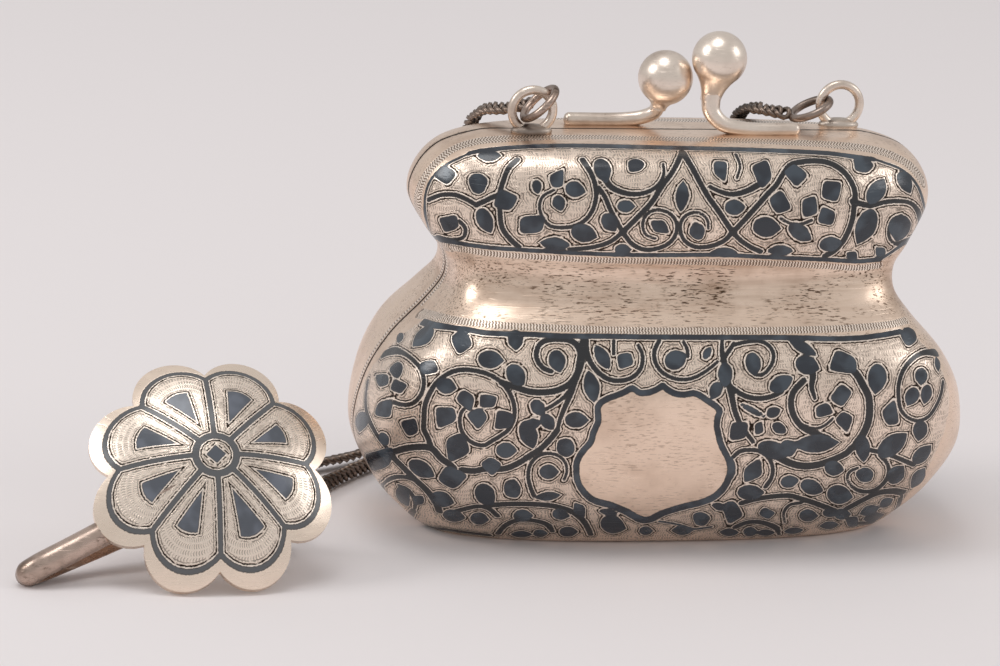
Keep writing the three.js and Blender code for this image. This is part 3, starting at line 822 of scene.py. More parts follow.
        (758.6, 427.8, 5.7, 4.3, 70), (778.7, 427.8, 8, 6, 35), (737.6, 430.7, 9.5, 8.6, -10),
        (731, 468.3, 11, 4, 90), (752, 472, 10.5, 8, -35), (750, 492.2, 13, 6.7, 0), (773, 450, 16, 8, 15),
        (731.8, 511.3, 10, 8, 55), (719.4, 506.5, 8, 3.5, 15), (700.3, 518.5, 8.6, 6.7, 35),
        (766.3, 513.2, 7.6, 5.7, 10), (645.7, 530.4, 6.7, 4, 0), (682, 530, 10, 4.3, 0),
        (729, 532, 9, 3.5, 0), (750, 531.4, 7, 4.3, 0), (765.3, 532.4, 8.6, 3, 0),
        (802.3, 346.8, 15, 5, 30), (843.6, 362.4, 13.4, 11, 15), (806.8, 364.6, 12, 8.4, 20),
        (841.4, 396, 10.6, 8.4, -50), (823.5, 410.4, 8, 6.5, -30), (843.6, 419.3, 8.4, 7.8, 30),
        (877, 378, 14.5, 8.4, 95), (890.5, 415, 10, 7.5, 80), (908.3, 335.6, 9.5, 7.8, 60),
        (921.2, 375.8, 8.4, 5.6, 90), (911.7, 396, 9.5, 6, 115), (926.2, 393.7, 9.5, 5, 100),
        (937.4, 363.5, 7, 2.5, 80), (920, 430, 10, 6.5, 100), (892, 445, 17, 8.5, -38),
        (862.6, 448, 13, 6.5, 85), (815.7, 443.4, 21, 8, -3), (786.7, 448, 9, 8, 0),
        (833.6, 468, 9.5, 6.7, 10), (864.8, 474.6, 8.5, 8, 20), (896, 474.6, 10.5, 7, -50),
        (921.7, 454.6, 12, 6, -45), (918, 478, 11, 5, -55), (789, 481.3, 9, 5.5, -10),
        (811.3, 487, 11.5, 6.7, 20), (839.2, 494.7, 12.5, 8.4, 10), (808, 515.4, 9, 5.5, 0),
        (830.2, 512.6, 8, 4, 0), (842, 514, 8, 5, 0), (852.5, 521.5, 6, 6, 0),
        (869.3, 510.4, 9.5, 4.5, -20), (873.8, 517, 10, 4, -15), (886, 502.5, 7, 4, -30),
        (829, 525, 9, 3.6, -5), (793.4, 530.4, 9, 3, -5),
    ),
)

# Largest distance to the ornament that is kept, and the numbers that a plain outer or inner face has
FAR = 2.5
BARE_FACE = {"stem": FAR, "leaf": FAR, "zigzag": FAR, "zigzag_run": 0.0, "ground": 0.0, "hollow": 0.0}
# The inner face's hollow number of 4 paints it almost black: painted shade inside the shell and on its rim
INSIDE_FACE = {**BARE_FACE, "hollow": 4.0}

# Words in the names of stems that are borders, with the flat blue of the leaves
CARTOUCHE = "cartouche"
BORDERS = ("frame", "border", CARTOUCHE)

# Tarnish of the neck: section number and spread. Painted shade along the seam: width and amount
NECK_TARNISH = (6.6, 1.5)
SEAM_SHADE = (0.5, 3.0)

# Zigzag beside the seam: distance, half width, and its section numbers on the right and on the left
SEAM_ZIGZAG = (0.95, 0.42, (5.4, 14.6), (5.4, 8.2))

# Lines of fine zigzag, charted as the stems are, with the section numbers that they lie between
ZIGZAGS = (
    ((0.3, 5.5), Stem("top_zigzag", 7.0, (
        (428, 239), (420, 224), (417, 206), (419, 189), (426, 174), (436, 162), (452, 149), (476, 141),
        (500, 138.5), (570, 136.5), (650, 138), (755, 140.5), (829, 144), (873, 149), (895, 156),
        (912, 167), (923, 181)))),
    ((4.6, 7.0), Stem("neck_top_zigzag", 6.0, (
        (440, 245), (487, 253), (540, 257), (600, 260), (670, 261.5), (766, 263), (829, 266), (857, 267.5),
        (880, 265)))),
    ((7.0, 9.5), Stem("neck_foot_zigzag", 7.5, (
        (420, 313), (434.5, 316.3), (490.7, 324.3), (571, 328.3), (651.4, 330.4), (731.8, 330.4),
        (812, 329.3), (860, 327), (892.5, 323.5), (906, 320)))),
)


@dataclass
class Niello:
    """Carries the charted ornament from the picture to the shell's face.

    Args:
        view: Camera that the chart was read with.
        grid: Face that takes the ornament.
        far: Largest distance that is kept, in millimetres.
        widest: How much wider than seen square on a stem may be where the face turns away.
        corner_power: Power that rounds the corners of short leaves, higher for sharper corners.
        polygon_slim: Part of its charted size that a short leaf is divided by.
        drop_from: Half length over half width from which a leaf is a drop.
        lens_from: Half length over half width from which both ends of a leaf are pointed.
        lens_slim: Part of its charted size that a pointed leaf is divided by.
        narrowest: How much narrower than seen square on a stem may be.
        least_facing: Cosine of the largest angle between a face that is charted and the line of sight.
        least_area: Smallest picture area of a grid step that is divided by.
        most_steps: Most grid steps that a place is moved from its nearest point.
        batch: Places that are looked up at once.
        chart_step: Picture pixels between two places of a stem.
        outline_steps: Places round a panel's edge.
        side_counts: Numbers of sides that short leaves are drawn from.
        first_turn: Largest turn of a short leaf, in radians.
        side_turn: Largest turn of one side of it, as a part of the angle between sides.
        side_reach: Smallest and largest distance of a side from the middle.
        seed_steps: Factors of a leaf's picture place in its seed.
    """

    view: Viewpoint
    grid: ShellGrid
    far: float = FAR
    widest: float = 2.2
    corner_power: float = 4.0
    polygon_slim: float = 0.91
    drop_from: float = 1.35
    lens_from: float = 2.1
    lens_slim: float = 0.88
    narrowest: float = 0.8
    least_facing: float = 0.03
    least_area: float = 1e-3
    most_steps: float = 1.5
    batch: int = 64
    chart_step: float = 3.0
    outline_steps: int = 200
    side_counts: tuple[int, ...] = (4, 4, 4, 5)
    first_turn: float = 0.35
    side_turn: float = 0.17
    side_reach: tuple[float, float] = (0.84, 1.08)
    seed_steps: tuple[int, int] = (7, 13)

    def __post_init__(self) -> None:
        """Works out where each point of the face is seen, and which points face the camera."""
        points = self.grid.points
        self.seen = self.view.project(points)
        sight = self.view.eye() - points
        sight /= np.linalg.norm(sight, axis=2, keepdims=True)
        self.facing = (sight * self.grid.normals).sum(2) > self.least_facing
        self.scale = self.view.focal / self.view.distance

    def placed(self, picture: np.ndarray, rows: tuple[float, float]) -> np.ndarray:
        """Finds the points of the face that are seen at given picture places.

        The nearest grid point that faces the camera is moved along the grid by the steps that its neighbours'
        picture places say, a 2 by 2 linear system solved by its determinant.

        Args:
            picture: Picture places, one row each.
            rows: First and last section number to look between.

        Returns:
            Places on the face.
        """
        row, column = np.nonzero(self.facing & self.grid.between(rows))
        seen = self.seen[row, column]
        near = np.concatenate([
            np.argmin(((part[:, None, :] - seen[None]) ** 2).sum(2), axis=1)
            for part in np.array_split(picture, max(1, len(picture) // self.batch))
        ])
        i, j = row[near], column[near]
        down, across = np.gradient(self.seen, axis=0)[i, j], np.gradient(self.seen, axis=1)[i, j]
        miss = picture - self.seen[i, j]
        area = down[:, 0] * across[:, 1] - down[:, 1] * across[:, 0]
        area = np.where(np.abs(area) < self.least_area, self.least_area, area)
        step_down = (miss[:, 0] * across[:, 1] - miss[:, 1] * across[:, 0]) / area
        step_across = (down[:, 0] * miss[:, 1] - down[:, 1] * miss[:, 0]) / area
        points, most = self.grid.points, self.most_steps
        return (points[i, j]
                + np.gradient(points, axis=0)[i, j] * step_down.clip(-most, most)[:, None]
                + np.gradient(points, axis=1)[i, j] * step_across.clip(-most, most)[:, None])

    def near(self, spots: np.ndarray) -> np.ndarray:
        """Tells which points of the face lie in the box round some spots, with room for the far distance."""
        above = self.grid.flat > spots.min(0) - self.far
        below = self.grid.flat < spots.max(0) + self.far
        return np.flatnonzero((above & below).all(1))

    def stem_half(self, stem: Stem, chart: np.ndarray, rows: tuple[float, float]) -> np.ndarray:
        """Works out a stem's half width on the face, from the places of its two charted edges.

        Args:
            stem: The charted line.
            chart: Picture places along it.
            rows: Section numbers that it lies between.

        Returns:
            Half the width in millimetres, at each place.
        """
        tip = stem.width if stem.tip is None else stem.tip
        width = np.linspace(stem.width, tip, len(chart))
        run = np.gradient(chart, axis=0)
        beside = np.stack([-run[:, 1], run[:, 0]], -1) / np.linalg.norm(run, axis=1, keepdims=True)
        off = beside * width[:, None] / 2
        edges = self.placed(np.vstack([chart + off, chart - off]), rows)
        seen_half = np.linalg.norm(edges[:len(chart)] - edges[len(chart):], axis=1) / 2
        plain_half = width / 2 / self.scale
        return seen_half.clip(self.narrowest * plain_half, self.widest * plain_half)

    def stem_distance(
        self, stem: Stem, rows: tuple[float, float], distance: np.ndarray, run_to: np.ndarray | None = None
    ) -> None:
        """Lowers distances to those from one stem: the distance to its line less half its width.

        Args:
            stem: The charted line.
            rows: Section numbers that it lies between.
            distance: Distances of all points of the face, changed in place.
            run_to: Lengths along the line to the place beside each point, changed where the distance is.
        """
        chart = np.array(stem.way)
        length = np.linalg.norm(np.diff(chart, axis=0), axis=1).sum()
        chart = smooth_way(chart, max(4, int(length / self.chart_step)))
        way = self.placed(chart, rows)
        half = self.stem_half(stem, chart, rows)[:-1]
        chosen = self.near(way)
        run = np.diff(way, axis=0)
        offset = self.grid.flat[chosen][:, None, :] - way[None, :-1]
        along = ((offset * run).sum(2) / (run**2).sum(1).clip(TINY)).clip(0, 1)
        gap = np.linalg.norm(offset - along[..., None] * run, axis=2) - half
        if run_to is not None:
            nearest = gap.argmin(1)
            steps = np.linalg.norm(run, axis=1)
            past = along[np.arange(len(chosen)), nearest] * steps[nearest]
            beside = (np.cumsum(steps) - steps)[nearest] + past
            run_to[chosen] = np.where(gap.min(1) < distance[chosen], beside, run_to[chosen])
        distance[chosen] = np.minimum(distance[chosen], gap.min(1))

    def leaf_distance(self, leaf: tuple[float, ...], rows: tuple[float, float], distance: np.ndarray) -> None:
        """Lowers distances to those from one leaf.

        A point is written as parts of the leaf's two half axes. With r its reach as a part of the outline's
        and q the length of the pair divided once more by the half axes, the distance is about r (r - 1) / q.

        Args:
            leaf: A row of a panel's leaves.
            rows: Section numbers that it lies between.
            distance: Distances of all points of the face, changed in place.
        """
        x, y, half_length, half_width, turn = leaf
        angle = math.radians(turn)
        along = half_length * np.array([math.cos(angle), math.sin(angle)])
        across = half_width * np.array([-math.sin(angle), math.cos(angle)])
        middle = np.array([x, y])
        cross = np.stack([middle, middle + along, middle - along, middle + across, middle - across])
        spots = self.placed(cross, rows)
        long_axis, short_axis = (spots[1] - spots[2]) / 2, (spots[3] - spots[4]) / 2
        chosen = self.near(spots)
        offset = self.grid.flat[chosen] - spots[0]
        axes = np.stack([long_axis, short_axis], -1)
        parts = offset @ np.linalg.pinv(axes).T
        size = np.linalg.norm(axes, axis=0)
        seed = int(x * self.seed_steps[0] + y * self.seed_steps[1])
        reach = self.leaf_reach(parts, half_length / half_width, seed)
        pull = np.linalg.norm(parts / size, axis=1).clip(SMALL)
        distance[chosen] = np.minimum(distance[chosen], reach * (reach - 1) / pull)

    def leaf_reach(self, parts: np.ndarray, slimness: float, seed: int) -> np.ndarray:
        """Gives each point's distance from a leaf's middle as a part of the leaf's own reach that way.

        A short leaf is a polygon with rounded corners: a high-power mean of the distances to its sides,
        whose turns are seeded, scaled to the area of a circle. The point of a longer one is where
        |b| + a^2 = 1, with a and b the parts of its half length and half width, so its reach r solves
        r^2 - |b| r - a^2 = 0. A drop has one such end, a slim leaf two.

        Args:
            parts: Places as parts of the leaf's half length and half width.
            slimness: Half length over half width.
            seed: Seed of the leaf's own turns.

        Returns:
            The reach, 1 on the outline.
        """
        rng = np.random.default_rng(seed)
        sides = int(rng.choice(self.side_counts))
        first = rng.uniform(-self.first_turn, self.first_turn)
        turns = rng.uniform(-self.side_turn, self.side_turn, sides)
        angle = first + 2 * math.pi * (np.arange(sides) + turns) / sides
        outward = np.stack([np.cos(angle), np.sin(angle)])
        to_side = (parts @ outward).clip(0) / rng.uniform(*self.side_reach, sides)
        polygon = (to_side**self.corner_power).sum(1) ** (1 / self.corner_power)
        polygon = polygon / math.sqrt(math.pi / sides / math.tan(math.pi / sides)) * self.polygon_slim
        side = np.abs(parts[:, 1])
        lens = (side + np.sqrt(side**2 + 4 * parts[:, 0] ** 2)) / 2 * self.lens_slim
        if slimness < self.drop_from:
            return polygon
        if slimness < self.lens_from:
            return np.where(parts[:, 0] > 0, lens, np.hypot(parts[:, 0], parts[:, 1] * self.lens_slim))
        return lens

    def distances(self) -> dict[str, np.ndarray]:
        """Works out the distances to the niello, negative inside it, in millimetres.

        Returns:
            Distance to the stems, and to the leaves and borders, for every point.
        """
        found = {name: np.full(len(self.grid.flat), self.far) for name in ("stem", "leaf")}
        for panel in (UPPER_PANEL, BELLY_PANEL):
            for stem in panel.stems:
                border = any(word in stem.name for word in BORDERS)
                self.stem_distance(stem, panel.rows, found["leaf" if border else "stem"])
            for leaf in panel.leaves:
                self.leaf_distance(leaf, panel.rows, found["leaf"])
        return found

    def zigzag_distances(self) -> dict[str, np.ndarray]:
        """Works out the zigzag bands.

        Returns:
            Distance to the bands, negative inside them, and the length along them, in millimetres.
        """
        distance = np.full(len(self.grid.flat), self.far)
        along = np.zeros(len(distance))
        for rows, stem in ZIGZAGS:
            self.stem_distance(stem, rows, distance, along)
        at, half, right, left = SEAM_ZIGZAG
        between = np.where(self.grid.around > 0, self.grid.between(right), self.grid.between(left))
        seam = np.where(between, np.abs(self.grid.seam - at) - half, self.far).ravel()
        down = np.repeat(self.grid.down, self.grid.points.shape[1])
        along = np.where(seam < distance, down, along)
        distance = np.minimum(distance, seam)
        return {"zigzag": distance, "zigzag_run": along}

    def inside(self, outline: np.ndarray, rows: tuple[float, float]) -> np.ndarray:
        """Tells which points of the face are seen inside a closed outline.

        A point is inside where a level line from it crosses the outline an odd number of times.

        Args:
            outline: Picture places round the outline.
            rows: Section numbers to look between.

        Returns:
            True or False for each point.
        """
        seen = self.seen.reshape(-1, 2)
        charted = (self.facing & self.grid.between(rows)).ravel()
        framed = (seen > outline.min(0)).all(1) & (seen < outline.max(0)).all(1)
        chosen = np.flatnonzero(charted & framed)
        spot = seen[chosen]
        start, end = outline, np.roll(outline, -1, axis=0)
        level = (start[:, 1] > spot[:, None, 1]) != (end[:, 1] > spot[:, None, 1])
        rise = end[:, 1] - start[:, 1]
        rise = np.where(np.abs(rise) < TINY, TINY, rise)
        cross = start[:, 0] + (spot[:, None, 1] - start[:, 1]) * (end[:, 0] - start[:, 0]) / rise
        found = np.zeros(len(seen), bool)
        found[chosen] = (level & (spot[:, None, 0] < cross)).sum(1) % 2 == 1
        return found

    def hollow(self) -> np.ndarray:
        """Gives how much tarnish the neck keeps, and how much painted shade lies along the seam and the
        mouth.

        It is a bell curve over the sections, highest in the neck, or an even rise just before the seam,
        whichever is more.

        Returns:
            A number for each point.
        """
        middle, spread = NECK_TARNISH
        bell = np.exp(-(((self.grid.rows - middle) / spread) ** 2))
        # Painted shade: an even rise towards the seam, full on the mouth's row
        width, most = SEAM_SHADE
        rim = (1 - self.grid.seam / width).clip(0) * most
        rim[0] = most
        return np.maximum(bell[:, None], rim).ravel()

    def ground(self) -> np.ndarray:
        """Gives 1 where the ground is engraved, inside a panel's edge and outside the cartouche, or 0."""
        engraved = np.zeros(len(self.grid.flat), bool)
        for panel in (UPPER_PANEL, BELLY_PANEL):
            engraved |= self.inside(smooth_way(np.array(panel.edge), self.outline_steps), panel.rows)
        shield = next(stem for stem in BELLY_PANEL.stems if stem.name == CARTOUCHE)
        engraved &= ~self.inside(smooth_way(np.array(shield.way), self.outline_steps), BELLY_PANEL.rows)
        return engraved * 1.0


Colour = tuple[float, float, float, float]


@dataclass(frozen=True)
class Grain:
    """Cloudy noise, and the range of it that takes effect.

    Args:
        scale: Clouds to one unit of length.
        detail: Layers of finer clouds.
        roughness: Strength of the finer layers.
        low: Value up to which it has no effect.
        high: Value from which it has its full effect.
        stretch: Scale of the place by axis, for streaks, or None.
    """

    scale: float
    detail: float = 3.0
    roughness: float = 0.6
    low: float = 0.0
    high: float = 1.0
    stretch: tuple[float, float, float] | None = None


class Socket(Enum):
    """Kinds of sockets that the node groups have."""

    NUMBER = "NodeSocketFloat"
    COLOUR = "NodeSocketColor"
    VECTOR = "NodeSocketVector"


class Graph:
    """Short calls for the nodes that the finishes are made of."""

    def __init__(self, tree: bpy.types.NodeTree) -> None:
        """Keeps the tree that the nodes go into."""
        self.tree = tree

    def node(self, kind: str, inputs: dict[str | int, Any] | None = None, **settings: Any) -> bpy.types.Node:
        """Adds a node.

        Args:
            kind: Blender's name of the node type.
            inputs: Values, or sockets to link, by input name or number.
            settings: Properties of the node.

        Returns:
            The new node.
        """
        made = self.tree.nodes.new(kind)
        for key, value in settings.items():
            setattr(made, key, value)
        for key, value in (inputs or {}).items():
            if isinstance(value, bpy.types.NodeSocket):
                self.tree.links.new(value, made.inputs[key])
            else:
                made.inputs[key].default_value = value
        return made

    def math(self, operation: str, *values: Any) -> bpy.types.NodeSocket:
        """Adds a Math node on values or sockets and gives its result."""
        return self.node("ShaderNodeMath", dict(enumerate(values)), operation=operation).outputs[0]

    def times(self, first: Any, second: Any) -> bpy.types.NodeSocket:
        """Multiplies two values or sockets and gives the result."""
        return self.math("MULTIPLY", first, second)

    def step(
        self, value: Any, low: float, high: float, start: float = 0.0, end: float = 1.0
    ) -> bpy.types.NodeSocket:
        """Blends smoothly from start to end as a value goes from low to high, and gives the result."""
        inputs = {"Value": value, "From Min": low, "From Max": high, "To Min": start, "To Max": end}
        return self.node("ShaderNodeMapRange", inputs, interpolation_type="SMOOTHSTEP").outputs["Result"]

    def mix(self, share: Any, first: Any, second: Any) -> bpy.types.NodeSocket:
        """Mixes two numbers by a share and gives the result."""
        return self.node("ShaderNodeMix", {0: share, 2: first, 3: second}, data_type="FLOAT").outputs[0]

    def mix_colour(self, share: Any, first: Any, second: Any) -> bpy.types.NodeSocket:
        """Mixes two colours by a share and gives the result."""
        return self.node("ShaderNodeMix", {0: share, 6: first, 7: second}, data_type="RGBA").outputs[2]

    def noise(self, place: Any, grain: Grain) -> bpy.types.NodeSocket:
        """Adds a grain's noise at a place and gives its value from 0 to 1."""
        if grain.stretch:
            scaled = self.node("ShaderNodeMapping", {"Vector": place, "Scale": grain.stretch})
            place = scaled.outputs["Vector"]
        inputs = {"Vector": place, "Scale": grain.scale, "Detail": grain.detail, "Roughness": grain.roughness}
        return self.node("ShaderNodeTexNoise", inputs).outputs["Fac"]

    def patches(self, place: Any, grain: Grain, start: float = 0.0, end: float = 1.0) -> bpy.types.NodeSocket:
        """Adds a grain's noise and blends it from start to end over the grain's range."""
        return self.step(self.noise(place, grain), grain.low, grain.high, start, end)

    def attribute(self, name: str) -> bpy.types.NodeSocket:
        """Reads a number that the mesh carries at its points."""
        return self.node("ShaderNodeAttribute", attribute_name=name, attribute_type="GEOMETRY").outputs["Fac"]

    def bump(self, height: Any, distance: float, **inputs: Any) -> bpy.types.NodeSocket:
        """Turns a height into a normal, over another normal where one is given."""
        values = {"Height": height, "Distance": distance, "Strength": 1.0, **inputs}
        return self.node("ShaderNodeBump", values).outputs["Normal"]


class NodeGroup:
    """A shader node group that is made on its first use, with the kind of each input and output."""

    name: str
    inputs: dict[str, Socket]
    outputs: dict[str, Socket]

    def tree(self) -> bpy.types.NodeTree:
        """Gives the group's tree, made on the first call."""
        return bpy.data.node_groups.get(self.name) or self.build()

    def begin(self) -> tuple[Graph, Any]:
        """Makes the empty tree with its sockets.

        Returns:
            Its graph and the sockets that bring the inputs.
        """
        tree = bpy.data.node_groups.new(self.name, "ShaderNodeTree")
        for way, sockets in (("INPUT", self.inputs), ("OUTPUT", self.outputs)):
            for name, kind in sockets.items():
                tree.interface.new_socket(name, in_out=way, socket_type=kind.value)
        graph = Graph(tree)
        return graph, graph.node("NodeGroupInput").outputs

    def build(self) -> bpy.types.NodeTree:
        """Makes the group, which each kind of group does in its own way."""
        raise NotImplementedError


class WornSilver(NodeGroup):
    """Node group of worn silver: bright metal, clouds of warm tarnish, specks, fine scratches and soft dents.

    Its inputs are the place, the two colours, the share of tarnish, the polish, the amounts of fine and of
    dark scratches, and the tarnish of the neck together with the painted shade along the seam and inside the
    shell. Its outputs are the colour, the roughness and the height.
    """

    name = "worn_silver"
    inputs = {
        "Place": Socket.VECTOR, "Bright": Socket.COLOUR, "Tarnish": Socket.COLOUR,
        **dict.fromkeys(("Tarnish Share", "Polish", "Scratches", "Dashes", "Hollow"), Socket.NUMBER),
    }
    outputs = {"Colour": Socket.COLOUR, "Roughness": Socket.NUMBER, "Height": Socket.NUMBER}
    cloud = Grain(95.0, 5.0, 0.6, 0.42, 0.70)
    speck = Grain(900.0, 3.0, 0.7, 0.62, 0.74)
    speck_share = 0.5
    streak = Grain(520.0, 4.0, 0.6, stretch=(0.35, 1.0, 4.5))
    scratch = Grain(900.0, 2.0, 0.5, 0.60, 0.72, (0.12, 1.0, 6.0))
    scratch_height = 0.05
    # Short dark scratches lie in patches, with a factor for the neck's tarnish and the seam's painted shade,
    # and a least amount
    dash = Grain(5200.0, 3.0, 0.6, 0.54, 0.64, (0.17, 1.0, 1.0))
    dash_patch = Grain(160.0, 3.0, 0.6, 0.38, 0.58)
    dash_by_tarnish_and_shade = (0.75, 0.25)
    # Streaks of the neck's tarnish and of the painted shade at the seam and inside: range of the streak's
    # noise and the amount at both ends of it
    streaked_tarnish_and_shade = (0.30, 0.72, 0.02, 0.30)
    # Colour of the dark scratches, which also paints shade along the seam and inside the shell, how much of
    # it is mixed in, and the range of the input over which that painted shade comes in
    dark_scratch_and_shade = (0.055, 0.038, 0.028, 1.0)
    dark_scratch_and_shade_share = 0.85
    painted_shade_from = (1.8, 2.8)
    tarnish_rough = 0.12
    streak_rough = 0.16
    dent = Grain(130.0, 2.0, 0.5)
    dent_height = 0.9

    def build(self) -> bpy.types.NodeTree:
        """Makes the group.

        Returns:
            The group's node tree.
        """
        graph, given = self.begin()
        place = given["Place"]
        streak = graph.noise(place, self.streak)
        clouds = graph.times(graph.patches(place, self.cloud), given["Tarnish Share"])
        most_specks = graph.times(given["Tarnish Share"], self.speck_share)
        share = graph.math("ADD", clouds, graph.times(graph.patches(place, self.speck), most_specks))
        dash = graph.times(graph.patches(place, self.dash), graph.patches(place, self.dash_patch))
        kept = graph.math("MULTIPLY_ADD", given["Hollow"], *self.dash_by_tarnish_and_shade)
        dash = graph.times(dash, graph.times(given["Dashes"], kept))
        share = graph.math("ADD", share, dash)
        # Streaks of tarnish in the neck, and of painted shade at the seam and inside
        streaked_tarnish_and_shade = graph.times(given["Hollow"], graph.step(streak, *self.streaked_tarnish_and_shade))
        share = graph.math("MINIMUM", graph.math("ADD", share, streaked_tarnish_and_shade), 1.0)
        colour = graph.mix_colour(share, given["Bright"], given["Tarnish"])
        # Dark scratches, and painted shade where the input is high, at the seam and inside
        darkened = graph.math("MAXIMUM", dash, graph.step(given["Hollow"], *self.painted_shade_from))
        colour = graph.mix_colour(graph.times(darkened, self.dark_scratch_and_shade_share), colour, self.dark_scratch_and_shade)
        rough = graph.math("ADD", given["Polish"], graph.times(share, self.tarnish_rough))
        rough = graph.math("ADD", rough, graph.times(graph.math("SUBTRACT", streak, 0.5), self.streak_rough))
        dents = graph.times(graph.noise(place, self.dent), self.dent_height)
        scratch = graph.patches(place, self.scratch)
        fine = graph.times(graph.math("SUBTRACT", streak, scratch), given["Scratches"])
        height = graph.math("ADD", dents, graph.times(fine, self.scratch_height))
        graph.node("NodeGroupOutput", {"Colour": colour, "Roughness": rough, "Height": height})
        return graph.tree


@dataclass(frozen=True)
class PlainSilver:
    """Silver of the wires, rings, clasp and chains.

    Args:
        name: Name of the material.
        bright: Colour of the bare metal.
        tarnish: Colour of the tarnish.
        share: How much tarnish there is.
        polish: Roughness of the bare metal.
        scratches: Amount of fine scratches.
        dashes: Amount of short dark scratches.
        dent: Depth of the dents in metres.
    """

    name: str
    bright: Colour
    tarnish: Colour
    share: float
    polish: float
    scratches: float = 1.0
    dashes: float = 0.2
    dent: float = 0.00025

    def worn(self, graph: Graph) -> bpy.types.Node:
        """Places the worn silver group with this finish's values, and gives its node."""
        place = graph.node("ShaderNodeTexCoord").outputs["Object"]
        values = {
            "Place": place, "Bright": self.bright, "Tarnish": self.tarnish, "Tarnish Share": self.share,
            "Polish": self.polish, "Scratches": self.scratches, "Dashes": self.dashes,
        }
        return graph.node("ShaderNodeGroup", values, node_tree=WornSilver().tree())

    def shaded(self, graph: Graph) -> bpy.types.NodeSocket:
        """Adds a metal with worn colour, roughness and bumps, and gives its shader."""
        worn = self.worn(graph).outputs
        metal = graph.node("ShaderNodeBsdfPrincipled", {
            "Base Color": worn["Colour"], "Roughness": worn["Roughness"], "Metallic": 1.0,
            "Normal": graph.bump(worn["Height"], self.dent),
        })
        return metal.outputs["BSDF"]

    def material(self) -> bpy.types.Material:
        """Makes the material, or gives it if it is made."""
        made = bpy.data.materials.get(self.name)
        if made:
            return made
        made = bpy.data.materials.new(self.name)
        made.use_nodes = True
        made.node_tree.nodes.clear()
        graph = Graph(made.node_tree)
        graph.node("ShaderNodeOutputMaterial", {"Surface": self.shaded(graph)})
        return made


@dataclass(frozen=True)
class Contour:
    """An engraved line that follows the niello.

    Args:
        distance: Distance from the niello in millimetres.
        half: Half width in millimetres.
        dark: Darkness of the line.
        breaks: Where the line is whole.
    """

    distance: float
    half: float
    dark: float
    breaks: Grain


